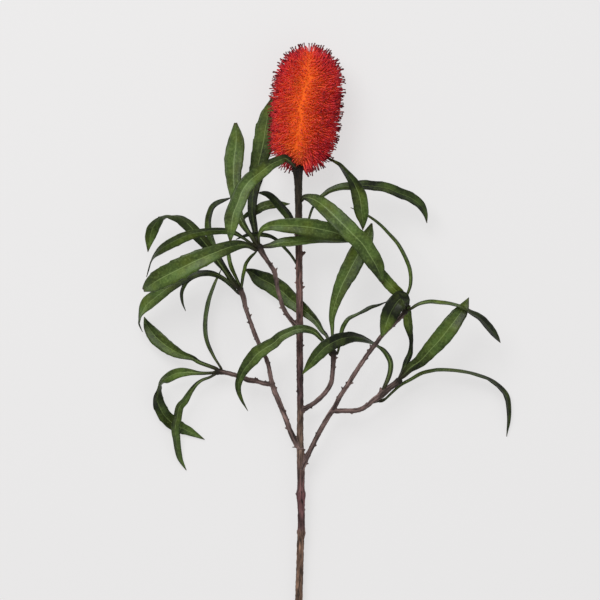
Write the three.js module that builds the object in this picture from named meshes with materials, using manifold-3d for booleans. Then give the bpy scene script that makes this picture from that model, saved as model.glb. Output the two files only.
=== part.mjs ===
// A cut banksia flower stem, laid down on a flat surface.
//
// A brown woody stem carries one cylindrical flower spike at its end and six side twigs, each
// with a whorl of long, narrow, toothed leaves. The surface is z = 0, the stem runs along +Y from
// its cut end to the flower, and the origin is under the middle of the whole spray.
// Every length is in millimetres.

import * as THREE from 'three';
import { mergeVertices } from 'three/addons/utils/BufferGeometryUtils.js';
import Module from 'manifold-3d';

const wasm = await Module();
wasm.setup();

// ---------------------------------------------------------------- driving dimensions

const SEAT_GAP = 0.3;            // clear gap between a leaf stalk or the spike and the wood

const SPIKE_AXIS_Z = 34.5;       // height of the spike's middle line above the surface
const STYLE_COUNT = 440;         // styles on the flower spike
const STYLE_REACH = 8.6;         // how far a style stands out of the core
const STYLE_SUNK = 2.2;          // how far its root is sunk into the core
const STYLE_ROOT_RADIUS = 1.5;
const STYLE_SPREAD = 0.08;       // share by which styles are longer or shorter than that
const CORE_SIDES = 20;
const CORE_RINGS = 13;
const CORE_END = 0.985;          // share of the core's outline where it is closed off flat

const WOOD_SIDES = 7;
const WOOD_STEP = 20;            // distance between two rings of a twig, about
const KNOB_RISE = 1;             // how much thicker a twig is at its end, under the whorl
const SEAT_RADIUS = 2.4;         // leaf cushion on a twig
const SCAR_RADIUS = 1.7;         // scar of a fallen leaf
const SCAR_LENGTH = 1.5;         // its length as a share of its width
const SCAR_SPACING = 25;
const SCAR_TURN = 2.4;           // radians round the twig from one scar to the next
const SCAR_LEAN = 0.55;          // how far its point leans away from the twig
const SCAR_SUNK = 0.75;          // share of the twig's radius at which its middle sits

const STALK_HALF_WIDTH = 1.15;   // of a leaf, where it leaves the wood
const EDGE_THICKNESS = 0.8;      // of a leaf, at its edges
const RIB_DEPTH = 0.45;          // how far the midrib stands out under a leaf
const GROOVE_DEPTH = 0.15;       // how far it is let in on top
const FOLD = 13;                 // degrees by which each half of a blade is folded up
const TIP_HALF_WIDTH = 0.45;

// Places on a leaf, as shares of its length from the stalk to the tip.
const BLADE_START = 0.05;
const BLADE_WIDEST = 0.52;
const BLADE_CLOSING = 0.6;
const CLOSING_POWER = 2.3;       // how late the blade closes towards its tip
const STALK_STATIONS = [0, 0.1, 0.24];

const TOOTH_DEPTH = 1.5;
const TOOTH_DEPTH_SHARE = 0.1;   // at most this share of the leaf's width
const TOOTH_SPACING = 21;        // along one edge
const FIRST_TOOTH = 0.36;        // share of the length
const LAST_TOOTH = 0.95;
const TOOTH_BACK = 0.014;        // share of the length over which a tooth falls back
const FIRST_RISE = 8 * TOOTH_BACK;
const TOOTH_HOLLOW = 1.5;        // how hollow the edge is between two points

// ---------------------------------------------------------------- the wood, [x, y, z, radius]

const MAIN_STEM = [
  [-28, -300, 3.4, 3.8],
  [-27, -257, 6.7, 3.7],
  [-25.2, -205, 10.1, 3.6],
  [-24.6, -194, 10.8, 3.6],
  [-24.4, -190, 11.1, 4.2],
  [-24.3, -185, 11.4, 3.5],
  [-24.1, -162, 12.9, 3.6],
  [-24, -154, 13.4, 4.5],
  [-24, -146, 13.9, 3.5],
  [-24, -120, 15.6, 3.6],
  [-24, -97, 17.1, 3.4],
  [-24.2, -65, 19.1, 3.4],
  [-24.5, -37, 20.9, 3.3],
  [-24.8, 0, 23.3, 3.3],
  [-25, 17, 24.4, 3.5],
  [-25.2, 60, 27.2, 3.3],
  [-25.6, 108, 30.3, 3.3],
  [-25.9, 145, 32.8, 3.5],
  [-26, 159, 33.7, 3.8],
  [-25.8, 167, 34.2, 4.5],
  [-25.4, 173.3, 34.5, 5.4],
];

const TWIGS = [
  // long left twig
  [[-26, -101, 17.1, 2.8], [-34, -84, 18, 2.7], [-42, -60, 19.5, 2.6], [-52, -38, 21, 2.6],
    [-57.5, -20, 22, 2.4], [-61.5, -4, 23, 2.3], [-71, 13, 24, 2.3], [-78, 31, 25, 2.3],
    [-83, 46, 25, 2.6], [-85.5, 54, 25, 3]],
  // its lower fork
  [[-52, -40, 21, 2.3], [-62, -39, 19.5, 2.1], [-76, -36.5, 17.5, 2.2], [-86, -32, 16.3, 1.9],
    [-97, -29, 15.5, 2.1], [-106.5, -28, 15.5, 2.8]],
  // upper left twig
  [[-26, 16, 24.4, 2.6], [-35, 27, 28, 2.5], [-40, 38, 31.5, 2.4], [-43, 50, 35, 2.3],
    [-46, 59, 38, 2.3], [-51, 68, 40.5, 2.4], [-58, 77, 43.5, 2.5], [-65.5, 95, 46, 3.4]],
  // short inner right twig
  [[-23, -65, 19, 2.7], [-13.5, -63.5, 22, 2.4], [-5, -59.5, 25, 2.3], [2.5, -52, 27.5, 2.2],
    [7, -43, 30, 2.2], [9, -33, 32.5, 2.2], [9.5, -20, 36, 2.3], [9.3, -9, 38, 2.8]],
  // long right twig
  [[-23, -123, 15.6, 3], [-14, -106, 18, 2.8], [-6, -88, 21.5, 2.8], [3, -72, 25, 2.7],
    [15.5, -52, 29, 2.6], [31, -30.5, 34, 2.5], [46, -9, 39, 2.4], [60, 14, 44, 2.4],
    [76, 38, 50, 3]],
  // its lower fork
  [[5, -68, 26, 2.3], [19, -67.5, 25.5, 2.1], [31, -68, 25, 2.1], [39, -65, 25, 2.2],
    [47, -59, 25, 2.3], [60, -48, 25, 2.5], [74, -36.5, 26, 2.5]],
];

// ---------------------------------------------------------------- the flower spike

// The core's middle line, [x, y], and its outline, [y, radius].
const SPIKE_AXIS = [[-25, 174], [-23, 189], [-21, 208], [-18.8, 236], [-17.5, 256], [-17, 275],
  [-16.6, 300]];
const CORE_OUTLINE = [[174.3, 7.5], [180, 14], [190, 21.5], [208, 26.5], [236, 28.6],
  [256, 28.4], [272, 25.4], [282, 19.5], [288.5, 11], [291, 0]];

// ---------------------------------------------------------------- the leaves

// Each leaf starts at its cushion on the wood and follows its route to the tip. The width is the
// widest place of the flattened blade. The turns are its roll about the route, in degrees, at
// even steps from the stalk to the tip: at 90 the blade stands on edge, past it the leaf shows
// its underside from above.
const LEAVES = [
  // whorl on the upper left twig
  { name: 'leaf_upper_left_1', width: 19, turns: [0, 12, 18],
    route: [[-68, 98, 47], [-74, 113, 50], [-84, 134, 42], [-90, 158, 34], [-90.5, 180, 30],
      [-89.5, 200, 28], [-90, 221, 27]] },
  { name: 'leaf_upper_left_2', width: 19, turns: [0, 0, 0], fold: 0, pressed: true,
    route: [[-66.5, 98.5, 43], [-69, 108, 31], [-71.5, 127, 17], [-69, 147, 6], [-65, 170, 0.38],
      [-62, 192, 0.38], [-59.5, 213, 0.38], [-57, 231, 0.38], [-52, 249, 1.4]] },
  { name: 'leaf_upper_left_3', width: 14, turns: [20, 36, 40],
    route: [[-69, 95, 48], [-80, 106, 55], [-97, 112, 59], [-116, 111.5, 60], [-136, 108, 58],
      [-154, 99.5, 53], [-171, 88, 46], [-179.5, 66, 35]] },
  { name: 'leaf_upper_left_4', width: 21, turns: [0, -8, -10],
    route: [[-70, 92, 48], [-80, 98, 63], [-94, 96.5, 72], [-115, 87, 75], [-135, 77, 73],
      [-155, 67, 67], [-172, 58.5, 56], [-181, 53, 42]] },
  { name: 'leaf_upper_left_5', width: 16, turns: [0, -12, -12],
    route: [[-64, 98, 48], [-64, 109, 54], [-55, 117, 59], [-37, 118.5, 62], [-15, 116.5, 64],
      [5, 112, 63], [20, 106.5, 60], [32, 101, 57]] },
  { name: 'leaf_upper_left_6', width: 11, turns: [30, 50, 52],
    route: [[-62, 95, 46], [-49, 99, 50], [-34, 103, 52], [-15, 103.5, 51], [4, 102.5, 48],
      [23, 100, 43]] },
  { name: 'leaf_upper_left_7', width: 11, turns: [0, 32, 34],
    route: [[-67, 96, 42], [-72, 111, 20], [-71, 127, 8], [-62, 136, 6], [-50, 138.5, 7],
      [-33, 139, 9]] },

  // whorl on the long left twig
  { name: 'leaf_left_1', width: 11, turns: [20, 48, 50],
    route: [[-86, 56, 22], [-99.5, 77, 18], [-109, 96, 15], [-115, 116, 14], [-113, 133, 15],
      [-105, 141, 17], [-93, 146, 20]] },
  { name: 'leaf_left_2', width: 16, turns: [160, 150, 130, 85, 45, 35],
    route: [[-87, 55, 27], [-98, 72, 32], [-111, 93, 35], [-124, 111, 36], [-141, 124, 36],
      [-159, 127, 35], [-171, 119, 31], [-178, 93, 25]] },
  { name: 'leaf_left_3', width: 14, turns: [0, -24, 30],
    route: [[-88, 51, 26], [-99, 63, 30], [-113, 69.5, 33], [-130, 66, 34], [-148, 56, 33],
      [-165, 46, 31], [-178, 35, 28], [-184, 20, 23], [-184, 8, 18]] },
  { name: 'leaf_left_4', width: 9, turns: [20, 56, 60],
    route: [[-87, 50, 22], [-104, 66, 18], [-122, 70, 16], [-137, 64, 15], [-143, 52, 14],
      [-142, 41, 12], [-139, 32, 9]] },
  { name: 'leaf_left_5', width: 10, turns: [10, 46, 50],
    route: [[-84, 58, 26], [-90, 72, 31], [-95, 85, 31], [-94, 101, 28]] },
  { name: 'leaf_left_6', width: 7, turns: [10, 46, 50],
    route: [[-81, 55, 27], [-81, 67, 32], [-76, 80, 35], [-70, 89, 36]] },

  // whorl on the lower left fork
  { name: 'leaf_lower_left_1', width: 15, turns: [0, 16, 18],
    route: [[-109, -24, 16.5], [-128, -17.5, 17], [-146, -10, 16], [-163, 2, 13],
      [-176, 13.5, 9], [-181, 27, 6]] },
  { name: 'leaf_lower_left_2', width: 11, turns: [30, 70, 70],
    route: [[-104, -24, 16], [-112, -12.5, 15], [-118.5, 4, 14], [-119, 22, 12],
      [-116, 41, 11], [-111, 58, 10], [-106, 73, 9]] },
  { name: 'leaf_lower_left_3', width: 15, turns: [40, 48, 72, 28, 8, 4],
    route: [[-111, -28, 16.5], [-125, -28.5, 19], [-142, -29.5, 20], [-156, -34, 18],
      [-165, -44, 14], [-166, -58, 8], [-157, -74, 3.5], [-141, -86, 1.8], [-122, -94, 1.3]] },
  { name: 'leaf_lower_left_4', width: 12, turns: [20, 46, 44],
    route: [[-108, -32, 15.5], [-120, -37, 19], [-133, -46, 21], [-142, -59, 20],
      [-146.5, -77, 16], [-148, -96, 10], [-145.5, -112, 5], [-139, -129, 1.3]] },

  // whorl on the short inner right twig
  { name: 'leaf_inner_right_1', width: 17, turns: [0, 8, 6],
    route: [[6.5, -8, 35.5], [1, 9.5, 31], [-9, 24, 22], [-23, 36, 15], [-43, 51.5, 11],
      [-62, 65, 9], [-80, 75, 8]] },
  { name: 'leaf_inner_right_2', width: 14, turns: [0, -18, -16],
    route: [[6, -12.5, 40], [-2, 4, 48], [-17, 13.5, 52], [-35, 11.5, 51], [-55, 1, 48],
      [-73, -15, 43], [-84, -32, 37], [-86, -50, 31], [-76, -71, 26]] },
  { name: 'leaf_inner_right_3', width: 18, turns: [20, 10, 10],
    route: [[9.5, -5, 38.5], [7, 10, 43], [9, 31, 46], [15.5, 52, 47], [25, 74, 47.5],
      [36, 94, 47], [43, 107, 46], [47, 121, 44]] },
  { name: 'leaf_inner_right_4', width: 8, turns: [20, 56, 60],
    route: [[13.5, -10, 36.5], [15.5, 7, 40], [20, 22, 43], [32, 30.5, 44], [47, 36, 44],
      [63, 41.5, 43]] },

  // whorl on the long right twig
  { name: 'leaf_right_1', width: 12, turns: [30, 74, 72],
    route: [[79, 41, 50], [84, 53, 53], [85.7, 69, 54], [80.5, 89, 50], [69, 106, 43],
      [53, 121.5, 37], [40, 130, 35], [26, 136, 34]] },
  { name: 'leaf_right_2', width: 13, turns: [0, 16, 20],
    route: [[75, 42, 51], [74, 49, 57], [69, 56, 60], [61, 65, 60], [53, 75, 58],
      [46, 86, 55]] },
  { name: 'leaf_right_3', width: 18, turns: [0, 0, 0],
    route: [[75, 37, 52], [76.5, 43, 61], [74, 45.5, 70], [70, 38, 74], [65, 25, 69],
      [60.5, 13, 61], [57.5, 3, 54]] },
  { name: 'leaf_right_4', width: 12, turns: [30, 56, 44],
    route: [[78, 36, 49], [87, 34.5, 52], [97, 40, 54], [112, 42, 53], [130, 38, 49],
      [147, 31.5, 43], [162, 21.5, 35], [176, 1, 24]] },

  // whorl on the lower right fork
  { name: 'leaf_lower_right_1', width: 11, turns: [50, 76, 34],
    route: [[71, -34, 24.5], [79, -24, 24], [84.5, -14, 25], [86, 0, 27], [85, 15, 30],
      [81, 32, 33]] },
  { name: 'leaf_lower_right_2', width: 17, turns: [0, 14, 16],
    route: [[75, -36, 27], [86, -25, 33], [101, -7, 42], [117, 11, 51], [132, 27, 58],
      [144.5, 47, 61]] },
  { name: 'leaf_lower_right_3', width: 11, turns: [30, 68, 64],
    route: [[50, -59, 24], [58.5, -57.5, 20.5], [75, -43.5, 18.5], [98, -29, 20],
      [124, -25.5, 20.5], [149, -28.5, 18], [170, -39, 14], [182.5, -55, 9],
      [184.5, -75, 4.8], [183, -94, 1.3]] },
  { name: 'leaf_lower_right_4', width: 13, turns: [20, 40, 44, 20, 16],
    route: [[58, -45, 27], [64, -32, 27], [64.5, -20, 28], [59, -8, 30], [48, 2.5, 33],
      [31, 6.5, 44], [12, 2.5, 54], [-4, -9, 57], [-14, -21, 54], [-22, -33, 48]] },

  // leaves on the main stem
  { name: 'leaf_stem_1', width: 17, turns: [0, -10, -8],
    route: [[-29, 165.5, 37], [-37, 170, 50], [-49, 182, 60], [-62, 176, 68], [-76, 162, 73],
      [-86, 145, 75], [-92, 124, 77], [-93, 103, 80]] },
  { name: 'leaf_stem_2', width: 15, turns: [0, -36, -10],
    route: [[-22.5, 165, 38], [-10, 167.5, 49], [3, 181.5, 60], [14, 180, 64], [24, 167, 64],
      [32, 153, 62], [36, 136, 60], [38.5, 114, 57]] },
  { name: 'leaf_stem_3', width: 21, turns: [0, 8, 10],
    route: [[-23.5, 143, 36], [-16, 145, 51], [-3, 136, 66], [14, 120, 77], [32, 103, 80],
      [47, 84.5, 77], [55, 71, 71], [59, 59, 65]] },
  { name: 'leaf_stem_4', width: 13, turns: [0, 24, 28],
    route: [[-20.6, 105, 31], [-15, 128, 34], [-6, 143, 36], [10, 155, 37], [33, 158.5, 38],
      [56, 156, 37], [78, 149.5, 34], [94, 139, 29], [103, 121, 21]] },
  { name: 'leaf_stem_5', width: 11, turns: [20, 42, 40],
    route: [[-29.8, 113, 29.8], [-36, 127, 26], [-44, 139.5, 22], [-55, 149, 20],
      [-67, 152, 21]] },
  { name: 'leaf_stem_6', width: 8, turns: [20, 56, 50],
    route: [[-28.5, 78, 28.5], [-40, 96, 35], [-54, 106.5, 40], [-70, 108.5, 40],
      [-88, 104, 36]] },
];

const LEAF_GREEN = 0x4f6b33;
const BARK_BROWN = 0x4a3530;
const FLOWER_RED = 0xd23a24;

// ---------------------------------------------------------------- shared tools

const UP = new THREE.Vector3(0, 0, 1);

function seededRandom(seed) {
  let state = seed;
  return () => {
    state = (state * 1664525 + 1013904223) % 4294967296;
    return state / 4294967296;
  };
}

function smoothStep(from, to, value) {
  return THREE.MathUtils.smoothstep(value, from, to);
}

function catmull(points) {
  const vectors = points.map(([x, y, z = 0]) => new THREE.Vector3(x, y, z));
  return new THREE.CatmullRomCurve3(vectors, false, 'catmullrom', 0.5);
}

function indexedGeometry(vertices, faces) {
  const geometry = new THREE.BufferGeometry();
  geometry.setAttribute('position', new THREE.Float32BufferAttribute(vertices, 3));
  geometry.setIndex(faces);
  return geometry;
}

function toSolid(geometry) {
  const bare = geometry.clone();
  bare.deleteAttribute('normal');
  bare.deleteAttribute('uv');
  const merged = mergeVertices(bare);
  return new wasm.Manifold(new wasm.Mesh({
    numProp: 3,
    vertProperties: new Float32Array(merged.attributes.position.array),
    triVerts: new Uint32Array(merged.index.array),
  }));
}

function toGeometry(solid) {
  const mesh = solid.getMesh();
  return indexedGeometry(Array.from(mesh.vertProperties), Array.from(mesh.triVerts));
}

// Everything below the surface, to press a piece flat where it rests.
function belowSurface() {
  const depth = 20;
  const block = new THREE.BoxGeometry(800, 800, depth);
  block.translate(0, 0, -depth / 2);
  return toSolid(block);
}

// A closed tube through rings of equal size, capped at both ends.
function tubeGeometry(rings) {
  const sides = rings[0].length;
  const vertices = [];
  const faces = [];
  for (const ring of rings) {
    for (const point of ring) vertices.push(point.x, point.y, point.z);
  }
  for (let ring = 0; ring < rings.length - 1; ring += 1) {
    for (let side = 0; side < sides; side += 1) {
      const a = ring * sides + side;
      const b = ring * sides + ((side + 1) % sides);
      faces.push(a, b, b + sides, a, b + sides, a + sides);
    }
  }
  const last = (rings.length - 1) * sides;
  for (let side = 1; side < sides - 1; side += 1) {
    faces.push(0, side + 1, side);
    faces.push(last, last + side, last + side + 1);
  }
  return indexedGeometry(vertices, faces);
}

// ---------------------------------------------------------------- wood

// One stem or twig: round rings square to its route, with the radius between the given ones.
function woodSolid(stations) {
  const route = catmull(stations);
  const radii = catmull(stations.map(([, , , radius], index) => [radius, index, 0]));
  const spans = stations.length - 1;
  const rings = [];
  for (let span = 0; span < spans; span += 1) {
    const [x0, y0, z0] = stations[span];
    const [x1, y1, z1] = stations[span + 1];
    const length = Math.hypot(x1 - x0, y1 - y0, z1 - z0);
    const steps = Math.max(1, Math.round(length / WOOD_STEP));
    const lastStep = span === spans - 1 ? steps : steps - 1;
    for (let step = 0; step <= lastStep; step += 1) {
      const t = (span + step / steps) / spans;
      const centre = route.getPoint(t);
      const along = route.getTangent(t);
      const across = new THREE.Vector3().crossVectors(along, UP).normalize();
      const above = new THREE.Vector3().crossVectors(across, along);
      const radius = radii.getPoint(t).x;
      const ring = [];
      for (let side = 0; side < WOOD_SIDES; side += 1) {
        const angle = (side + 0.5) * 2 * Math.PI / WOOD_SIDES;
        ring.push(centre.clone()
          .addScaledVector(across, radius * Math.sin(angle))
          .addScaledVector(above, radius * Math.cos(angle)));
      }
      rings.push(ring);
    }
  }
  return toSolid(tubeGeometry(rings));
}

// Low pointed scars that spiral round a twig, where leaves have fallen.
function scarSolids(stations, random) {
  const route = catmull(stations);
  const count = Math.floor(route.getLength() / SCAR_SPACING);
  const scars = [];
  for (let scar = 1; scar < count; scar += 1) {
    const share = (scar + 0.6 * (random() - 0.5)) / count;
    const centre = route.getPointAt(share);
    const along = route.getTangentAt(share);
    const nearest = stations[Math.round(route.getUtoTmapping(share) * (stations.length - 1))];
    const across = new THREE.Vector3().crossVectors(along, UP).normalize();
    const outward = across.applyAxisAngle(along, scar * SCAR_TURN + random());
    const bump = new THREE.OctahedronGeometry(SCAR_RADIUS);
    bump.scale(1, 1, SCAR_LENGTH);
    const lean = along.clone().addScaledVector(outward, SCAR_LEAN).normalize();
    bump.applyQuaternion(new THREE.Quaternion().setFromUnitVectors(UP, lean));
    const place = centre.addScaledVector(outward, nearest[3] * SCAR_SUNK);
    bump.translate(place.x, place.y, place.z);
    scars.push(toSolid(bump));
  }
  return scars;
}

function stemGeometry() {
  const random = seededRandom(7);
  const solids = [MAIN_STEM, ...TWIGS].map(woodSolid);
  for (const twig of [MAIN_STEM, ...TWIGS]) solids.push(...scarSolids(twig, random));
  for (const [x, y, z, radius] of TWIGS.map((twig) => twig.at(-1))) {
    const knob = new THREE.SphereGeometry(radius + KNOB_RISE, 7, 5);
    knob.translate(x, y, z);
    solids.push(toSolid(knob));
  }
  for (const leaf of LEAVES) {
    const cushion = new THREE.IcosahedronGeometry(SEAT_RADIUS);
    cushion.translate(...leaf.route[0]);
    solids.push(toSolid(cushion));
  }
  return toGeometry(wasm.Manifold.union(solids).subtract(belowSurface()));
}

// ---------------------------------------------------------------- flower spike

function spikeAxisX(y) {
  const after = Math.max(1, SPIKE_AXIS.findIndex(([, stationY]) => stationY >= y));
  const [x0, y0] = SPIKE_AXIS[after - 1];
  const [x1, y1] = SPIKE_AXIS[after];
  return THREE.MathUtils.mapLinear(y, y0, y1, x0, x1);
}

// A point of the spike: at the height y along it, at a radius and an angle round its axis.
function spikePoint(y, radius, angle) {
  return new THREE.Vector3(
    spikeAxisX(y) + radius * Math.cos(angle),
    y,
    SPIKE_AXIS_Z + radius * Math.sin(angle),
  );
}

function coreSolid() {
  const outline = new THREE.SplineCurve(CORE_OUTLINE.map(([y, r]) => new THREE.Vector2(y, r)));
  const rings = [];
  for (let ring = 0; ring < CORE_RINGS; ring += 1) {
    const { x: y, y: radius } = outline.getPointAt(CORE_END * ring / (CORE_RINGS - 1));
    const points = [];
    for (let side = 0; side < CORE_SIDES; side += 1) {
      points.push(spikePoint(y, radius, -side * 2 * Math.PI / CORE_SIDES));
    }
    rings.push(points);
  }
  return toSolid(tubeGeometry(rings));
}

// Styles stand square to the core all round it, evenly spread by the golden angle.
function styleSolids() {
  const outline = new THREE.SplineCurve(CORE_OUTLINE.map(([y, r]) => new THREE.Vector2(y, r)));
  const random = seededRandom(21);
  const samples = 400;
  const area = [0];
  for (let sample = 1; sample <= samples; sample += 1) {
    area.push(area[sample - 1] + outline.getPointAt((sample - 0.5) / samples).y);
  }
  const goldenAngle = Math.PI * (3 - Math.sqrt(5));
  const styles = [];
  for (let style = 0; style < STYLE_COUNT; style += 1) {
    const wanted = (style + 0.5) / STYLE_COUNT * area[samples];
    const share = area.findIndex((sum) => sum >= wanted) / samples;
    const { x: y, y: radius } = outline.getPointAt(share);
    const slope = outline.getTangentAt(share);
    const angle = style * goldenAngle;
    const reach = STYLE_REACH * (1 + STYLE_SPREAD * (2 * random() - 1));
    const root = spikePoint(y + slope.y * STYLE_SUNK, radius - slope.x * STYLE_SUNK, angle);
    const tip = spikePoint(y - slope.y * reach, radius + slope.x * reach, angle);
    const along = tip.clone().sub(root);
    const length = along.length();
    const cone = new THREE.ConeGeometry(STYLE_ROOT_RADIUS, length, 3);
    cone.translate(0, length / 2, 0);
    const turn = new THREE.Quaternion().setFromUnitVectors(
      new THREE.Vector3(0, 1, 0), along.normalize(),
    );
    cone.applyQuaternion(turn);
    cone.translate(root.x, root.y, root.z);
    styles.push(toSolid(cone));
  }
  return styles;
}

function spikeGeometry() {
  const spike = wasm.Manifold.union([coreSolid(), ...styleSolids()]);
  return toGeometry(spike.subtract(belowSurface()));
}

// ---------------------------------------------------------------- leaves

// Half width of a blade without its teeth, at a share of its length.
function bladeHalfWidth(share, width) {
  const opening = smoothStep(BLADE_START, BLADE_WIDEST, share);
  const closing = 1 - Math.max(0, (share - BLADE_CLOSING) / (1 - BLADE_CLOSING)) ** CLOSING_POWER;
  const blade = (width / 2 - STALK_HALF_WIDTH) * opening * closing;
  const stalk = THREE.MathUtils.lerp(TIP_HALF_WIDTH, STALK_HALF_WIDTH, closing);
  return stalk + blade;
}

// Where the teeth of one edge have their points, as shares of the length.
function toothPoints(length, side) {
  const spacing = TOOTH_SPACING / length;
  const first = FIRST_TOOTH + (side < 0 ? 0 : spacing / 2);
  const points = [];
  for (let share = first; share < LAST_TOOTH; share += spacing) points.push(share);
  return points;
}

// How far one edge stands out for its teeth: it rises towards each point and drops behind it.
function toothRise(share, points) {
  let notch = points[0] - FIRST_RISE;
  for (const point of points) {
    if (share <= point + 1e-6) {
      return Math.max(0, (share - notch) / (point - notch)) ** TOOTH_HOLLOW;
    }
    if (share < point + TOOTH_BACK - 1e-6) return 0.5;
    notch = point + TOOTH_BACK;
  }
  return 0;
}

// Roll of the blade at a share of its length, in radians.
function turnAt(turns, share) {
  const place = Math.min(share, 0.9999) * (turns.length - 1);
  const step = Math.floor(place);
  return THREE.MathUtils.degToRad(
    THREE.MathUtils.lerp(turns[step], turns[step + 1], place - step),
  );
}

// The route of a leaf, from just off its cushion to its tip.
function leafRoute(leaf) {
  const [seat, next] = leaf.route.slice(0, 2).map((point) => new THREE.Vector3(...point));
  const start = next.clone().sub(seat).setLength(SEAT_RADIUS + SEAT_GAP).add(seat);
  return catmull([start.toArray(), ...leaf.route.slice(1)]);
}

function leafGeometry(leaf) {
  const route = leafRoute(leaf);
  const length = route.getLength();
  const left = toothPoints(length, -1);
  const right = toothPoints(length, 1);
  const shares = [...STALK_STATIONS];
  for (const point of [...left, ...right]) shares.push(point, point + TOOTH_BACK);
  shares.push(1);
  shares.sort((a, b) => a - b);

  const vertices = [];
  for (const share of shares) {
    const centre = route.getPointAt(share);
    const along = route.getTangentAt(share);
    const flatAcross = new THREE.Vector3().crossVectors(along, UP).normalize();
    const across = flatAcross.clone().applyAxisAngle(along, -turnAt(leaf.turns, share));
    const above = new THREE.Vector3().crossVectors(across, along);
    const halfWidth = bladeHalfWidth(share, leaf.width);
    const fold = THREE.MathUtils.degToRad(leaf.fold ?? FOLD) * smoothStep(0, FIRST_TOOTH, share);
    const fade = smoothStep(FIRST_TOOTH - 0.1, FIRST_TOOTH + 0.1, share)
      * (1 - smoothStep(LAST_TOOTH - 0.05, 1, share));
    const depth = Math.min(TOOTH_DEPTH, leaf.width * TOOTH_DEPTH_SHARE) * fade;
    const edgePoint = (side, points) => {
      const reach = halfWidth + depth * (toothRise(share, points) - 0.4);
      return centre.clone()
        .addScaledVector(across, side * reach * Math.cos(fold))
        .addScaledVector(above, reach * Math.sin(fold));
    };
    const columns = [
      [edgePoint(-1, left), EDGE_THICKNESS / 2, -EDGE_THICKNESS / 2],
      [centre, EDGE_THICKNESS / 2 - GROOVE_DEPTH, -EDGE_THICKNESS / 2 - RIB_DEPTH * (1 - share)],
      [edgePoint(1, right), EDGE_THICKNESS / 2, -EDGE_THICKNESS / 2],
    ];
    for (const [point, top, bottom] of columns) {
      vertices.push(...point.clone().addScaledVector(above, top).toArray());
      vertices.push(...point.clone().addScaledVector(above, bottom).toArray());
    }
  }

  // Six points a station: the left edge, the midrib and the right edge, each above and below.
  const faces = [];
  const perStation = 6;
  const [LT, LB, MT, MB, RT, RB] = [0, 1, 2, 3, 4, 5];
  for (let station = 0; station < shares.length - 1; station += 1) {
    const here = station * perStation;
    const next = here + perStation;
    const quad = (a, b) => faces.push(here + a, next + b, here + b, here + a, next + a, next + b);
    const mirroredQuad = (a, b) => {
      faces.push(here + a, here + b, next + b, here + a, next + b, next + a);
    };
    mirroredQuad(LT, MT);
    quad(LB, MB);
    mirroredQuad(MT, RT);
    quad(MB, RB);
    quad(LT, LB);
    mirroredQuad(RT, RB);
  }
  const last = (shares.length - 1) * perStation;
  for (const [a, b, c, d] of [[LT, LB, MB, MT], [MT, MB, RB, RT]]) {
    faces.push(a, b, c, a, c, d);
    faces.push(last + a, last + c, last + b, last + a, last + d, last + c);
  }
  const blade = indexedGeometry(vertices, faces);
  return leaf.pressed ? toGeometry(toSolid(blade).subtract(belowSurface())) : blade;
}

// ---------------------------------------------------------------- the spray

function piece(name, geometry, color, roughness) {
  const material = new THREE.MeshStandardMaterial({ color, roughness, metalness: 0 });
  material.flatShading = true;
  const mesh = new THREE.Mesh(geometry, material);
  mesh.name = name;
  return mesh;
}

const spray = new THREE.Group();
spray.add(piece('woody_stem', stemGeometry(), BARK_BROWN, 0.8));
spray.add(piece('flower_spike', spikeGeometry(), FLOWER_RED, 0.75));
for (const leaf of LEAVES) spray.add(piece(leaf.name, leafGeometry(leaf), LEAF_GREEN, 0.5));

export default spray;
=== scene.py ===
import math
import random

import bpy
import numpy as np
from mathutils import Matrix, Vector
from mathutils.geometry import interpolate_bezier


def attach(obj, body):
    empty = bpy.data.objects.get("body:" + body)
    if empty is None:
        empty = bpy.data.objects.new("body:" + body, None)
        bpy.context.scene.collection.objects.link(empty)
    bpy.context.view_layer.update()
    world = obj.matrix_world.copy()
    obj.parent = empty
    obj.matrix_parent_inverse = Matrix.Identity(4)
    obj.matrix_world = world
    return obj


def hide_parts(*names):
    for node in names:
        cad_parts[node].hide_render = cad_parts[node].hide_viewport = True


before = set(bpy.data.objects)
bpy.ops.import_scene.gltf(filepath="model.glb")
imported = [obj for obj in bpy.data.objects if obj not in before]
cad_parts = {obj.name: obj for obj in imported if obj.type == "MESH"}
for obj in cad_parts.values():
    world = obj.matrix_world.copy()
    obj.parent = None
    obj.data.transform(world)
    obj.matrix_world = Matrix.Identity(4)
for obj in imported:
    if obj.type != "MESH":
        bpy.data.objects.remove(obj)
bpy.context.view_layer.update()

# ------------------------------------------------------------------------------- the woody stem
# The cut stem and its side twigs, living wood under a thin matt bark. It grew as one piece: the
# twigs swell where they leave the stem, and short stubs stay where old leaves have fallen.

MM = 0.001
UP = Vector((0, 0, 1))
LOWEST = 0.0001                  # what would lie lower than this is pressed flat at this height
# x, y and z of each place on a bough's centre line and the radius there, in mm
MAIN_STEM = [
    (-27.1, -300, 3.4, 4.09), (-26.1, -257, 6.7, 3.89), (-24.6, -205, 10.1, 3.69),
    (-24.0, -195, 10.8, 3.79), (-23.8, -190, 11.1, 4.59), (-23.7, -185, 11.4, 3.79),
    (-23.8, -164, 12.9, 3.79), (-24.1, -156, 13.4, 4.59), (-24.1, -151, 13.6, 4.79),
    (-24.1, -145, 13.9, 3.79), (-24.1, -122, 15.6, 4.09), (-24.9, -97, 17.1, 3.52),
    (-24.7, -65, 19.1, 3.32), (-25.0, -37, 20.9, 3.47), (-25.3, 0, 23.3, 3.47),
    (-25.2, 17, 24.4, 3.52), (-25.7, 60, 27.2, 3.47), (-26.2, 108, 30.3, 3.67),
    (-26.5, 145, 32.8, 3.77), (-26.7, 159, 33.7, 4.07), (-26.9, 166, 34.2, 4.52),
    (-27.2, 172, 34.5, 5.32), (-27.3, 178, 34.5, 5.82), (-26.9, 186, 34.5, 6.32),
]
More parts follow.
